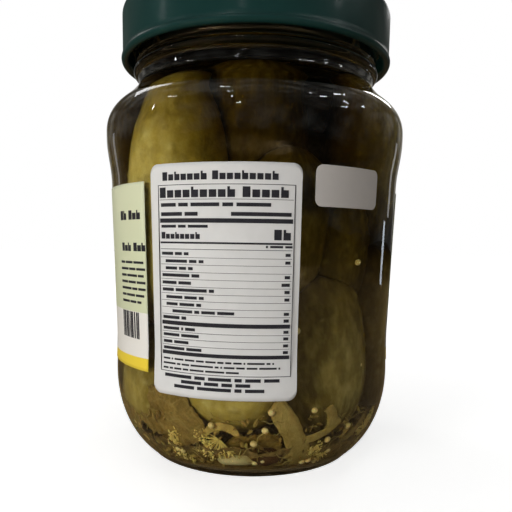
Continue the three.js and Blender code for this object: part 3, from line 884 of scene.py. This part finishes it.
def leaf_patch(leaf, rng):
    """A torn wavy leaf against the glass, ragged by sines, its thin veins fanned from the stalk end."""
    bearing, height, width, tall, curl, slant, inset = leaf
    u = np.linspace(-1, 1, 90)[None]
    w = np.linspace(-1, 1, 64)[:, None]
    phase = rng.uniform(0, 6.28, 4)
    tears = ((0.1, 5, phase[0]), (0.07, 13, phase[1]), (0.05, 37, phase[2]))
    ragged = 1 + sum(depth * np.sin(pace * u + start) for depth, pace, start in tears)
    half = tall / 2 * np.clip(1 - 0.99 * np.abs(u) ** 3.6, 0, 1) ** 0.5 * ragged
    across = u * width / 2 * (1 + 0.06 * np.sin(7 * w + phase[3]) + 0.04 * np.sin(19 * w))
    up = w * half
    a = math.radians(slant)
    x, z = across * math.cos(a) - up * math.sin(a), across * math.sin(a) + up * math.cos(a)
    fan = np.arctan2(up, across + 0.62 * width) + 0.05 * np.sin(0.9 * across + phase[0])
    run = np.hypot(up, across + 0.62 * width)
    main_vein = np.abs((fan / 0.3 + 0.5) % 1 - 0.5) * 0.3 * run
    cross_vein = np.abs(((run + 1.4 * np.sin(6 * fan + phase[1])) / 2.6 + 0.5) % 1 - 0.5) * 2.6
    vein = 0.9 * np.exp(-((main_vein / 0.22) ** 2)) + 0.3 * np.exp(-((cross_vein / 0.1) ** 2))
    vein = np.clip(vein, 0, 1)
    level = height + z
    wave = np.sin(2.6 * u + 1.9 * w) + 0.5 * np.sin(6 * u - 4 * w) + 0.35 * np.sin(11 * w + 5 * u)
    wave = curl * wave - 0.1 * vein
    reach = inner_reach(level) - inset + np.minimum(0.5 * wave, 0.95)
    turn = bearing + np.degrees(x / reach)
    front = around(turn, reach, level)
    back = around(turn, reach - 0.3, level)
    return slab_patch(front, back, vein=vein)


# Leaf: bearing, height of the middle, width, height, curl, slant and how far it stays off the wall
LEAVES = (
    (-35.5, 18.6, 23, 16, 1.0, -12, 1.6),
    (-57, 16.5, 10, 7, 0.8, 75, 1.4),
    (1, 11.6, 15, 8, 1.0, 8, 3.4),
    (-70, 14.5, 15, 10, 1.1, 40, 1.6),
    (84, 16.5, 19, 13, 1.2, -20, 1.6),
    (150, 19.0, 16, 12, 1.0, 30, 1.6),
    (178, 17.0, 22, 14, 1.0, 15, 1.6),
    (-128, 17.5, 19, 13, 1.2, -25, 1.6),
)
# Stalk: bearing, height of the middle, length, width, thickness, lean and how light it is
STALKS = (
    (15.5, 14.8, 22, 6.2, 1.6, 27, 0.85),
    (30, 15.8, 12, 2.3, 1.4, -66, 0.95),
    (32, 19.2, 6.5, 3.4, 1.4, 14, 0.85),
    (48, 14.0, 11, 2.4, 1.4, -52, 0.5),
    (-60, 25.0, 14, 5.2, 1.6, -14, 0.7),
    (118, 16.5, 21, 6, 1.8, 35, 0.7),
    (205, 16, 20, 5.6, 1.8, -30, 0.6),
    (283, 17, 22, 6, 1.8, 18, 0.7),
)
# Clove: bearing, height, length and girth
GARLIC = ((-6, 7.2, 11, 5.0), (152, 10, 13, 7), (248, 9.8, 13, 6.4))
# Peel: bearing, height, radius of the curl, width of the band, where its arch starts and how far it runs
PEELS = (
    (-11.5, 14.2, 4.4, 2.9, 15, 150),
    (-51, 12.0, 3.6, 2.4, 150, 130),
    (39, 14.5, 3.2, 1.8, -70, 140),
    (112, 13, 4.2, 2.6, 20, 160),
    (196, 14, 4.4, 2.8, 0, 170),
    (-95, 14, 4.2, 2.6, 40, 160),
)
# Dill heads: bearing and height of the knot that the rays leave, their length, the middle of their fan
UMBELS = (
    (-12.5, 13.6, 7.5, 232),
    (-29, 10.5, 5.5, 200),
    (29, 6.6, 4.5, 60),
    (62, 11.0, 6.5, 160),
    (128, 11.5, 6.5, 200),
    (225, 12.0, 7, 170),
    (-82, 11.5, 6.5, 190),
)
# Mustard seeds that show from the front: bearing and height
MUSTARD_AT_FRONT = (
    (7.6, 22.2), (24.5, 22.0), (5.4, 17.0), (1.2, 13.0), (5.2, 7.4), (2.0, 6.6),
    (-15.2, 18.0), (-30.6, 8.6), (-32.6, 9.0), (43.0, 15.4), (36.0, 8.6), (33.2, 12.4),
    (47.0, 32.9), (43.0, 63.2), (16.6, 44.6), (27.4, 6.2), (31.2, 5.6), (24.4, 5.9),
)
GOLDEN_ANGLE = 137.508
# Pepper: bearing, height and size
PEPPER = ((7, 9.0, 4.4), (72, 9, 3.6), (170, 10, 3.6), (-110, 9, 3.6))


def leaves_piece(material):
    """Torn leaves at the bottom, the largest in front."""
    rng = np.random.default_rng(3)
    return make_piece("leaves", [leaf_patch(leaf, rng) for leaf in LEAVES], material)


def stalk_patch(stalk, rng):
    """A cut strip: a slab with rounded edges along a bowed line that leans in the plane of the wall."""
    bearing, height, length, width, thick, tip, tone = stalk
    t = np.linspace(-0.5, 0.5, 44)[:, None]
    phi = circle(32)[None]
    a = math.radians(tip)
    side = np.sign(np.cos(phi)) * np.abs(np.cos(phi)) ** 0.5
    face = np.sign(np.sin(phi)) * np.abs(np.sin(phi)) ** 0.7
    fray = 1 + 0.05 * np.sin(13 * t + 2 * np.sin(phi) + rng.uniform(0, 6)) + 0.03 * np.sin(41 * t + phi)
    groove = 1 + 0.16 * np.sin(11 * phi + 1.5 * np.sin(5 * t))
    end_cut = 1 - 0.5 * np.clip((np.abs(t) - 0.485) / 0.015, 0, 1) ** 2
    across = side * width / 2 * fray * (1 - 0.16 * t) * end_cut
    slope = t * length + 0.12 * width * side * np.sign(t) * (np.abs(t) > 0.4)
    bow = 1.1 * (0.25 - t**2) * 4
    x = -slope * math.sin(a) + (bow + across) * math.cos(a)
    z = height + slope * math.cos(a) + (bow + across) * math.sin(a)
    depth = face * thick / 2 * groove * end_cut
    reach = inner_reach(z) - thick / 2 - 1.1 + depth
    rings = around(bearing + np.degrees(x / reach), reach, z)
    return capped_patch(rings, rings[0].mean(axis=0), rings[-1].mean(axis=0), tone=tone + 0 * x)


def stalks_piece(material):
    """Strips of stalk among the leaves."""
    rng = np.random.default_rng(5)
    return make_piece("stalks", [stalk_patch(stalk, rng) for stalk in STALKS], material)


def garlic_piece(material):
    """Cloves: a tube bowed along the wall that swells fast from the root and tapers to a point."""
    patches = []
    for bearing, height, length, girth in GARLIC:
        t = np.linspace(0, 1, 30)
        x = (t - 0.5) * length
        z = height + 0.8 * np.sin(np.pi * t)
        reach = inner_reach(z) - girth / 2 - 0.6
        path = around(bearing + np.degrees(x / reach), reach, z)
        radius = girth / 2 * np.sqrt(np.clip(1 - np.abs(2 * t**0.8 - 1) ** 2.3, 0.004, 1))
        patches.append(tube_patch(path, radius, 20, 0.85))
    return make_piece("garlic_cloves", patches, material)


def peels_piece(material):
    """Curled peel: a thin flat band along an arch against the wall, narrowing at its two ends."""
    rng = np.random.default_rng(17)
    patches = []
    for bearing, height, ring, band, start, sweep in PEELS:
        a = np.radians(start + np.linspace(0, sweep, 48))[None]
        w = np.linspace(-0.5, 0.5, 12)[:, None]
        taper = np.sin(np.linspace(0.25, np.pi - 0.2, 48)) ** 0.5
        ragged = 1 + 0.07 * np.sin(9 * a + rng.uniform(0, 6)) + 0.04 * np.sin(25 * a)
        r = ring + w * band * taper[None] * ragged
        level = height + 0.8 * r * np.sin(a)
        ripple = 0.3 * np.sin(5 * a + 2 * w) + 0.6 * w * np.cos(3 * a)
        reach = inner_reach(level) - 1.9 + np.clip(ripple, -0.8, 0.8)
        turn = bearing + np.degrees(r * np.cos(a) / reach)
        patches.append(slab_patch(around(turn, reach, level), around(turn, reach - 0.45, level)))
    return make_piece("curled_peels", patches, material)


def dill_piece(material):
    """Dill heads: fine rays fanned out from a knot, with small seeds along the outer half of each."""
    rng = np.random.default_rng(7)
    patches = []
    for bearing, height, reach, middle in UMBELS:
        heart = near_wall(bearing, height, 2.6)
        for fan in middle + np.linspace(-80, 80, 26) + rng.uniform(-4, 4, 26):
            a = math.radians(fan)
            long = reach * rng.uniform(0.65, 1.05)
            level = height + math.sin(a) * long
            side = math.degrees(math.cos(a) * long / float(inner_reach(level)))
            end = near_wall(bearing + side, level, rng.uniform(0.9, 1.9))
            t = np.linspace(0, 1, 9)[:, None]
            path = heart * (1 - t) + end * t + 0.05 * long * np.sin(np.pi * t) * rng.uniform(-1, 1, 3)
            patches.append(tube_patch(path, 0.2 - 0.08 * t[:, 0], 5))
            for _ in range(7):
                share = rng.uniform(0.55, 1.05)
                axes = tumbled(rng) * [[0.2], [0.34], [0.6]]
                spot = heart * (1 - share) + end * share + rng.normal(0, 0.4, 3)
                patches.append(pebble_patch(spot, axes, 5, 6))
    return loose_piece("dill_heads", patches, OFF_WALL, material)


def fronds_piece(material):
    """Loose dill threads: thin curved strands near the wall, each a short arc with a bow of its own."""
    rng = np.random.default_rng(19)
    patches = []
    for _ in range(170):
        bearing = rng.uniform(-180, 180)
        height = 6.5 + 15 * rng.random() ** 1.8
        heading, long, bow = rng.uniform(0, 6.28), rng.uniform(2.5, 7), rng.uniform(-1.6, 1.6)
        t = np.linspace(-0.5, 0.5, 14)
        along, off = t * long, bow * (0.25 - t**2) * 4 + 0.25 * np.sin(11 * t)
        x = along * math.cos(heading) - off * math.sin(heading)
        z = np.clip(height + along * math.sin(heading) + off * math.cos(heading), 5.5, None)
        reach = inner_reach(z) - 0.6 - 1.6 * rng.random() - 0.6 * t
        path = around(bearing + np.degrees(x / reach), reach, z)
        patches.append(tube_patch(path, rng.uniform(0.09, 0.2) * (1 - 0.6 * np.abs(t)), 5))
    return make_piece("dill_threads", patches, material)


def mustard_piece(material):
    """Mustard seeds: those that show in front, and more by the golden angle round the rest."""
    rng = np.random.default_rng(9)
    spots = [near_wall(b, z, 1.25) for b, z in MUSTARD_AT_FRONT]
    for i in range(46):
        height = 7.0 + 8 * rng.random() ** 2
        spots.append(near_wall(52 + (i * GOLDEN_ANGLE) % 270, height, 1.5 + 2.5 * rng.random()))
    patches = []
    for spot in spots:
        size = rng.uniform(0.9, 1.06)
        axes = tumbled(rng) * [[size], [0.95 * size], [0.9 * size]]
        patches.append(pebble_patch(spot, axes, 9, 12))
    return make_piece("mustard_seeds", patches, material)


def flakes_piece(material):
    """Loose bits of leaf and seed coat: thin ovals strewn near the wall, fewer the higher up."""
    rng = np.random.default_rng(13)
    patches = []
    for _ in range(900):
        bearing = rng.uniform(-180, 180)
        height = 5.8 + 15 * rng.random() ** 2.2
        axes = tumbled(rng)
        size = rng.uniform(0.5, 1.5)
        axes = axes * [[0.16], [0.5 * size], [size]]
        patches.append(pebble_patch(near_wall(bearing, height, 1.0 + 2.2 * rng.random()), axes, 5, 7))
    return loose_piece("spice_flakes", patches, 0.3, material)


def pepper_piece(material):
    """Dark red bits of pepper: lumpy pebbles, flattened against the wall."""
    patches = []
    for bearing, height, size in PEPPER:
        middle = near_wall(bearing, height, 2.6)
        b = math.radians(bearing)
        axes = np.array([[math.cos(b), math.sin(b), 0], [-math.sin(b), math.cos(b), 0], [0, 0, 1.0]])
        patch = pebble_patch(middle, axes * [[size], [1.2], [0.75 * size]], 18, 26)
        points = patch["points"]
        points += 0.25 * np.sin(points[:, [2, 0, 1]] * 2.9 + 1) * np.sin(points[:, [1, 2, 0]] * 1.7)
        patches.append(patch)
    return loose_piece("pepper_bits", patches, OFF_WALL, material)


# The labels and their print


def label_width(label):
    """A label's length round the glass, at its middle height."""
    middle = (label.bottom + label.top) / 2
    return math.radians(label.last - label.first) * float(outer_reach(middle))


def on_label(label, x, z, lift):
    """Points off the glass by a lift, x millimetres from a label's left edge and at height z."""
    bearing = label.first + (label.last - label.first) * x / label_width(label)
    return around(bearing, outer_reach(z) + glass_wave(bearing, z) + lift, z)


def label_piece(name, label, material, node, columns):
    """A closed thin sheet round the glass, whose ends come in along quarter circles at its corners."""
    width, corner = label_width(label), label.corner
    edge = corner * (1 - np.cos(np.linspace(0, np.pi / 2, 12)))
    x = np.concatenate([edge, np.linspace(corner, width - corner, columns)[1:-1], (width - edge)[::-1]])
    x = np.unique(x)
    inset = np.clip(corner - np.minimum(x, width - x), 0, corner)
    drop = corner - np.sqrt(corner**2 - inset**2)
    v = np.linspace(0, 1, 48)[:, None]
    z = label.bottom + drop + (label.top - label.bottom - 2 * drop) * v
    x = x + 0 * z
    cockle = 0.03 * np.sin(0.23 * x + 1) * np.sin(0.17 * z)
    front = on_label(label, x, z, PAPER.lift + PAPER.thick + cockle)
    back = on_label(label, x, z, PAPER.lift + cockle)
    place = np.stack([x / width, (z - label.bottom) / (label.top - label.bottom), 0 * x], axis=-1)
    return make_piece(name, [slab_patch(front, back, place=place)], material, [node])


def ink_patch(label, bars):
    """Thin closed bars of ink, each from x0 to x1 millimetres along the label and from z0 to z1 up.

    A long bar is cut in steps, so that it follows the round of the glass.
    """
    step = 2.2
    split = []
    for x0, x1, z0, z1 in bars:
        cuts = np.linspace(x0, x1, max(int((x1 - x0) / step), 1) + 1)
        split += [(a, b, z0, z1) for a, b in zip(cuts[:-1], cuts[1:])]
    x0, x1, z0, z1 = np.array(split).T
    x = np.stack([x0, x1, x1, x0], axis=1)
    z = np.stack([z0, z0, z1, z1], axis=1)
    lift = PAPER.lift + PAPER.thick
    front = on_label(label, x, z, lift + PAPER.ink + 0.05)
    back = on_label(label, x, z, lift - 0.06)
    corner = np.arange(4)
    sides = np.stack([corner, corner + 4, np.roll(corner, -1) + 4, np.roll(corner, -1)], axis=1)
    faces = np.concatenate([[[0, 1, 2, 3], [7, 6, 5, 4]], sides])
    points = np.concatenate([front, back], axis=1)
    start = 8 * np.arange(len(points))[:, None, None]
    return flat_patch(points, faces[None] + start, {})


def dashes(x, z, height, pitch, words):
    """A row of plain marks: a dash for each small word, or a block for each letter of a large one."""
    bars = []
    low = z - height / 2
    for letters in words:
        if height < 1.4:
            bars.append((x, x + (letters - 0.25) * pitch, low, low + height))
        else:
            for i in range(letters):
                start = x + i * pitch
                bars.append((start, start + 0.8 * pitch, low, low + (1.0 if i == 0 else 0.72) * height))
                if (3 * i + letters) % 4 == 1:
                    bars.append((start, start + 0.26 * pitch, low, low + height))
        x += (letters + 0.6) * pitch
    return bars


# Rows of the facts sticker: depth under its upper edge, indent, letter height, letter pitch, words, and
# how many letters the value at the right has
FACTS_ROWS = (
    (3.3, 4.3, 2.2, 1.9, (7, 9), 0),
    (7.5, 3.3, 2.7, 2.42, (9, 5), 0),
    (10.7, 3.6, 0.95, 1.0, (5, 3, 8, 3, 9), 0),
    (13.1, 3.6, 1.0, 0.98, (7, 4), 16),
    (16.3, 3.6, 0.75, 0.82, (6, 3, 7), 0),
    (18.7, 3.6, 1.8, 1.5, (8,), 0),
    (23.5, 3.6, 0.8, 0.77, (5, 3, 2), 2),
    (25.5, 4.8, 0.8, 0.77, (9, 3, 2), 2),
    (27.4, 4.8, 0.8, 0.77, (5, 3, 2), 0),
    (29.3, 3.6, 0.85, 0.8, (11, 3), 2),
    (31.3, 3.6, 0.85, 0.8, (6, 5), 3),
    (33.2, 3.6, 0.85, 0.78, (5, 12, 2), 2),
    (35.2, 4.8, 0.8, 0.77, (7, 5, 2), 2),
    (37.1, 4.8, 0.8, 0.77, (5, 6, 2), 0),
    (39.0, 6.8, 0.8, 0.79, (8, 2, 5, 6), 2),
    (40.8, 3.6, 0.85, 0.8, (7, 2), 2),
    (43.8, 3.6, 0.8, 0.78, (7, 1, 4), 2),
    (45.6, 3.6, 0.8, 0.78, (7, 7), 2),
    (47.5, 3.6, 0.8, 0.78, (4, 6), 2),
    (49.3, 3.6, 0.8, 0.78, (9, 6), 2),
    (52.3, 3.6, 0.5, 0.6, (4, 1, 5, 5, 4, 5, 3, 3, 4, 1, 8, 2, 1), 0),
    (53.6, 3.6, 0.5, 0.6, (7, 2, 4, 11, 2, 1, 5, 4, 5, 8, 1), 0),
    (54.9, 3.6, 0.5, 0.6, (3, 2, 4, 3, 7, 9, 6), 0),
    (56.9, 4.2, 0.9, 1.1, (8, 3, 6, 2, 4, 4), 0),
    (58.3, 9.6, 0.9, 1.05, (6, 4, 3, 4), 0),
    (59.7, 7.4, 0.9, 1.08, (6, 9, 2, 5), 0),
)
# Marks at the frame's right: distance from its edge, depth, letter height, letter pitch and words
FACTS_VALUES = ((5.3, 18.3, 2.7, 2.4, (2,)), (7.4, 21.4, 0.6, 0.7, (1, 5, 3)))
FACTS_FRAME = Sizes(left=2.7, right=40.0, top=5.5, bottom=55.9, line=0.16)
# Rules across the frame: depth of the middle and thickness
FACTS_RULES = (
    (9.35, 0.12), (14.8, 1.15), (20.6, 0.5), (22.3, 0.14), (24.5, 0.1), (26.4, 0.1),
    (28.4, 0.1), (30.3, 0.1), (32.3, 0.1), (34.2, 0.1), (36.1, 0.1), (38.0, 0.1),
    (39.9, 0.1), (42.3, 1.1), (44.7, 0.1), (46.6, 0.1), (48.4, 0.1), (50.6, 1.0),
)


def facts_ink_piece(material):
    """The facts sticker's print, as a plain table: a frame, rules and word-size dashes."""
    top = FACTS_LABEL.top
    left, right, line = FACTS_FRAME.left, FACTS_FRAME.right, FACTS_FRAME.line
    upper, lower = top - FACTS_FRAME.top, top - FACTS_FRAME.bottom
    bars = [(left, left + line, lower, upper), (right - line, right, lower, upper)]
    bars += [(left, right, upper - line, upper), (left, right, lower, lower + line)]
    bars += [(left + 0.5, right - 0.5, top - d - w / 2, top - d + w / 2) for d, w in FACTS_RULES]
    for depth, indent, height, pitch, words, value in FACTS_ROWS:
        bars += dashes(indent, top - depth, height, pitch, words)
        if value:
            bars += dashes(right - 0.7 - value * pitch, top - depth, height, pitch, (value,))
    for inward, depth, height, pitch, words in FACTS_VALUES:
        bars += dashes(right - inward, top - depth, height, pitch, words)
    ink = ink_patch(FACTS_LABEL, bars)
    return make_piece("facts_print", [ink], material, smooth=False)


# Large words at the wrap label's right end: distance from it, height, letter height, pitch and words
WRAP_HEADS = ((13.5, 75.6, 2.6, 2.1, (2, 3)), (13.0, 66.6, 2.4, 2.0, (3, 3)))
# Letters in the words of the small rows below them
WRAP_ROWS = ((4, 6, 7), (7, 5, 6), (5, 8, 4), (6, 6, 6), (9, 4, 5), (4, 7, 6), (7, 5, 3))

# The block of upright bars, by distance from the right end and by height
UPRIGHTS = Sizes(first=14.5, last=4.2, bottom=40.0, top=47.8)
# Where the two blocks of small rows at the back start, clear of the oval
BACK_BLOCKS = (22, 130)


def wrap_ink_piece(material):
    """The wrap label's print: word-size dashes, and a block of uneven upright bars at its right end."""
    end = label_width(MAIN_LABEL)
    bars = []
    for inward, middle, height, pitch, words in WRAP_HEADS:
        bars += dashes(end - inward, middle, height, pitch, words)
    for row, words in enumerate(WRAP_ROWS):
        bars += dashes(end - 14.2, 62.2 - 1.9 * row, 0.7, 0.72, words)
    rng = np.random.default_rng(21)
    x = end - UPRIGHTS.first
    while x < end - UPRIGHTS.last:
        wide = rng.choice([0.22, 0.4, 0.62])
        bars.append((x, x + wide, UPRIGHTS.bottom, UPRIGHTS.top))
        x += wide + rng.choice([0.24, 0.4, 0.6])
    for start in BACK_BLOCKS:
        for row in range(5):
            words = tuple(rng.integers(3, 10, 4))
            bars += dashes(start, 46.0 - 2.1 * row, 0.8, 0.75, words)
    ink = ink_patch(MAIN_LABEL, bars)
    return make_piece("wrap_print", [ink], material, smooth=False)


def build_scene():
    """Every piece with its finish, from the glass inwards and then the paper on it."""
    glass_piece(glass_material())
    brine_piece(brine_material())
    lid_piece(enamel_material())
    liner_piece(liner_material())
    gherkins_piece(gherkin_material())
    # The core's near-black plant colours are painted shade between the gherkins
    core_piece(plant_material("painted_shade_heap", (0.02, 0.016, 0.006), (0.06, 0.045, 0.014), 120.0))
    bed_piece(plant_material("spice_bed", (0.06, 0.038, 0.012), (0.38, 0.24, 0.08), 650.0, 0.6, 1.0))
    leaves_piece(leaf_material())
    stalks_piece(stalk_material())
    garlic_piece(plant_material("garlic", (0.4, 0.32, 0.14), (0.68, 0.56, 0.28), 220.0))
    peels_piece(plant_material("peel", (0.45, 0.3, 0.085), (0.75, 0.53, 0.18), 420.0))
    dill_piece(plant_material("dill", (0.78, 0.52, 0.13), (1.0, 0.8, 0.3), 700.0))
    fronds_piece(plant_material("dill_thread", (0.2, 0.14, 0.035), (0.6, 0.44, 0.14), 500.0))
    mustard_piece(plant_material("mustard", (0.66, 0.46, 0.15), (0.95, 0.76, 0.36), 900.0, 0.35, 0.2))
    flakes_piece(plant_material("flake", (0.09, 0.055, 0.015), (0.52, 0.35, 0.1), 300.0))
    pepper_piece(plant_material("red_pepper", (0.035, 0.014, 0.006), (0.09, 0.038, 0.016), 420.0))
    ink = ink_material()
    label_piece("wrap_paper", MAIN_LABEL, wrap_label_material(), "wrap_label", 110)
    wrap_ink_piece(ink)
    sticker = paper_material("sticker_paper", (0.72, 0.73, 0.73), 0.45, 0.15)
    label_piece("facts_paper", FACTS_LABEL, sticker, "facts_sticker", 40)
    facts_ink_piece(ink)
    grey = paper_material("plain_sticker", (0.56, 0.54, 0.52), 0.5)
    label_piece("small_paper", SMALL_LABEL, grey, "small_sticker", 24)


# The camera, the lamps and the floor

# The camera's distance and height in millimetres and its turns in degrees, from the photo's perspective
VIEW = Sizes(distance=187.5, height=67.8, pitch=6.54, roll=0.86, yaw=0.37)
LENS = Sizes(focal_px=545.1, frame_px=512, centre_px=307, sensor=36.0)


def add_camera():
    """The photo's viewpoint, with the lens shifted up as the photo's straight sides ask."""
    data = bpy.data.cameras.new("camera")
    data.sensor_width = LENS.sensor
    data.lens = LENS.focal_px / LENS.frame_px * LENS.sensor
    data.shift_y = (LENS.centre_px - LENS.frame_px / 2) / LENS.frame_px
    data.clip_start = 0.01
    camera = bpy.data.objects.new("camera", data)
    turn = Matrix.Rotation(math.radians(-VIEW.yaw), 4, "Z")
    turn = turn @ Matrix.Rotation(math.radians(90 - VIEW.pitch), 4, "X")
    turn = turn @ Matrix.Rotation(math.radians(VIEW.roll), 4, "Z")
    camera.matrix_world = Matrix.Translation((0, -VIEW.distance * MM, VIEW.height * MM)) @ turn
    bpy.context.scene.collection.objects.link(camera)
    bpy.context.scene.camera = camera


def add_softbox(
    name, bearing, elevation, distance, size, power, colour=(1, 1, 1), aim=0.07, gloss=True, lights=True
):
    """A rectangular lamp at a bearing and an elevation round the jar, turned to face it."""
    data = bpy.data.lights.new(name, "AREA")
    data.shape = "RECTANGLE"
    data.size, data.size_y = size
    data.energy = power
    data.color = colour
    lamp = bpy.data.objects.new(name, data)
    b, e = math.radians(bearing), math.radians(elevation)
    out = math.cos(e) * distance
    place = (math.sin(b) * out, -math.cos(b) * out, aim + math.sin(e) * distance)
    turn = Matrix.Rotation(b, 4, "Z") @ Matrix.Rotation(math.pi / 2 - e, 4, "X")
    lamp.matrix_world = Matrix.Translation(place) @ turn
    lamp.visible_glossy = gloss
    lamp.visible_diffuse = lights
    lamp.visible_camera = False
    lamp.visible_transmission = False
    bpy.context.scene.collection.objects.link(lamp)


# Small lamps that only mirror in the glass: bearing, elevation, width and height in metres
SPARKLES = (
    (58, 43, 0.075, 0.012),
    (82, 50, 0.13, 0.014),
    (66, 25, 0.06, 0.012),
    (50, 52, 0.012, 0.07),
    (72, 34, 0.014, 0.08),
    (88, 30, 0.05, 0.012),
    (-34, 63, 0.09, 0.012),
    (-22, 50, 0.06, 0.01),
    (-11, 21, 0.05, 0.01),
    (-18, 36, 0.012, 0.07),
    (-70, 40, 0.1, 0.01),
    (-78, 22, 0.012, 0.09),
)
SPARKLE_POWER = 110.0


def add_lamps():
    """Large lamps that light the jar but don't mirror, then small ones for the glints on the glass."""
    add_softbox("key", -46, 2, 0.7, (0.32, 0.26), 5.1, (1.0, 0.985, 0.96), aim=0.03, gloss=False)
    add_softbox("fill", 28, 4, 0.8, (0.4, 0.4), 1.8, (0.98, 0.98, 1.0), aim=0.04, gloss=False)
    add_softbox("ceiling", 0, 85, 0.9, (0.5, 0.5), 1.0, gloss=False)
    add_softbox("behind", 172, 4, 0.9, (0.4, 0.2), 0.5, gloss=False)
    add_softbox("shoulder_left", -134, 46, 0.8, (0.16, 0.26), 0.4)
    add_softbox("shoulder_right", 147, 33, 0.8, (0.07, 0.2), 0.28)
    add_softbox("right_strip", 123, -4, 0.7, (0.05, 0.17), 0.07, (0.8, 0.9, 1.0), aim=0.055)
    add_softbox("right_edge", 131, 6, 0.8, (0.06, 0.1), 0.014)
    add_softbox("left_edge", -128, 6, 0.8, (0.05, 0.14), 0.014)
    for bearing, elevation, wide, tall in SPARKLES:
        power = SPARKLE_POWER * wide * tall
        add_softbox("spot", bearing, elevation, 0.8, (wide, tall), power, lights=False)


def add_world():
    """White behind the jar, which mirrors a room lighter above and behind, and bends a dim one."""
    world = bpy.data.worlds.new("studio")
    bpy.context.scene.world = world
    world.use_nodes = True
    nodes = Nodes(world.node_tree)
    toward = nodes.add("TexCoord").outputs["Generated"]
    split = nodes.add("SeparateXYZ", {0: toward})
    up = split.outputs[2]
    back_and_up = nodes.math("ADD", up, nodes.math("MULTIPLY", split.outputs[1], 0.8))
    above = nodes.spread(up, -0.1, 0.15, 0.012, 0.05)
    behind = nodes.spread(back_and_up, 0.3, 1.2, 0.0, 0.16)
    patchy = nodes.spread(nodes.noise(toward, 4.0, 2.0), 0.45, 0.62, 0.5, 2.6)
    overhead = nodes.math("MULTIPLY", nodes.math("ADD", above, behind), patchy)
    white = nodes.add("Background", {"Color": (1.0, 1.0, 1.0), "Strength": 1.0})
    dim = nodes.add("Background", {"Color": (0.87, 0.83, 0.75), "Strength": 0.04})
    mirrored = nodes.add("Background", {"Color": (0.9, 0.88, 0.8), "Strength": overhead})
    path = nodes.add("LightPath").outputs
    mix = nodes.add("MixShader", {0: path["Is Glossy Ray"], 1: dim.outputs[0], 2: mirrored.outputs[0]})
    whole = nodes.add("MixShader", {0: path["Is Camera Ray"], 1: mix.outputs[0], 2: white.outputs[0]})
    nodes.add("OutputWorld", {"Surface": whole.outputs[0]})


def add_floor():
    """A pale floor that runs off past the frame. The jar mirrors and bends only a dim version of it."""
    mesh = bpy.data.meshes.new("floor")
    half = 4.0
    corners = [(-half, -half, 0), (half, -half, 0), (half, half, 0), (-half, half, 0)]
    mesh.from_pydata(corners, [], [(0, 1, 2, 3)])
    look = Finish("pale_floor")
    far = look.add("VectorMath", {0: look.place()}, operation="LENGTH").outputs["Value"]
    look.set(Base_Color=(0.9, 0.9, 0.9), Roughness=0.7, Specular_IOR_Level=0.1)
    look.set(Emission_Color=(1.0, 1.0, 1.0), Emission_Strength=look.spread(far, 0.06, 0.5, 0.72, 1.05))
    dim = look.add("BsdfDiffuse", {"Color": (0.4, 0.29, 0.16)})
    path = look.add("LightPath").outputs["Is Camera Ray"]
    mix = look.add("MixShader", {0: path, 1: dim.outputs[0], 2: look.shader.outputs[0]})
    look.feed(look.output.inputs["Surface"], mix.outputs[0])
    mesh.materials.append(look.material)
    floor = bpy.data.objects.new("floor", mesh)
    bpy.context.scene.collection.objects.link(floor)


def set_tone():
    """Plain display colours, as a camera's own picture has."""
    view = bpy.context.scene.view_settings
    view.view_transform = "Standard"
    view.look = "None"


build_scene()
add_camera()
add_lamps()
add_world()
add_floor()
set_tone()
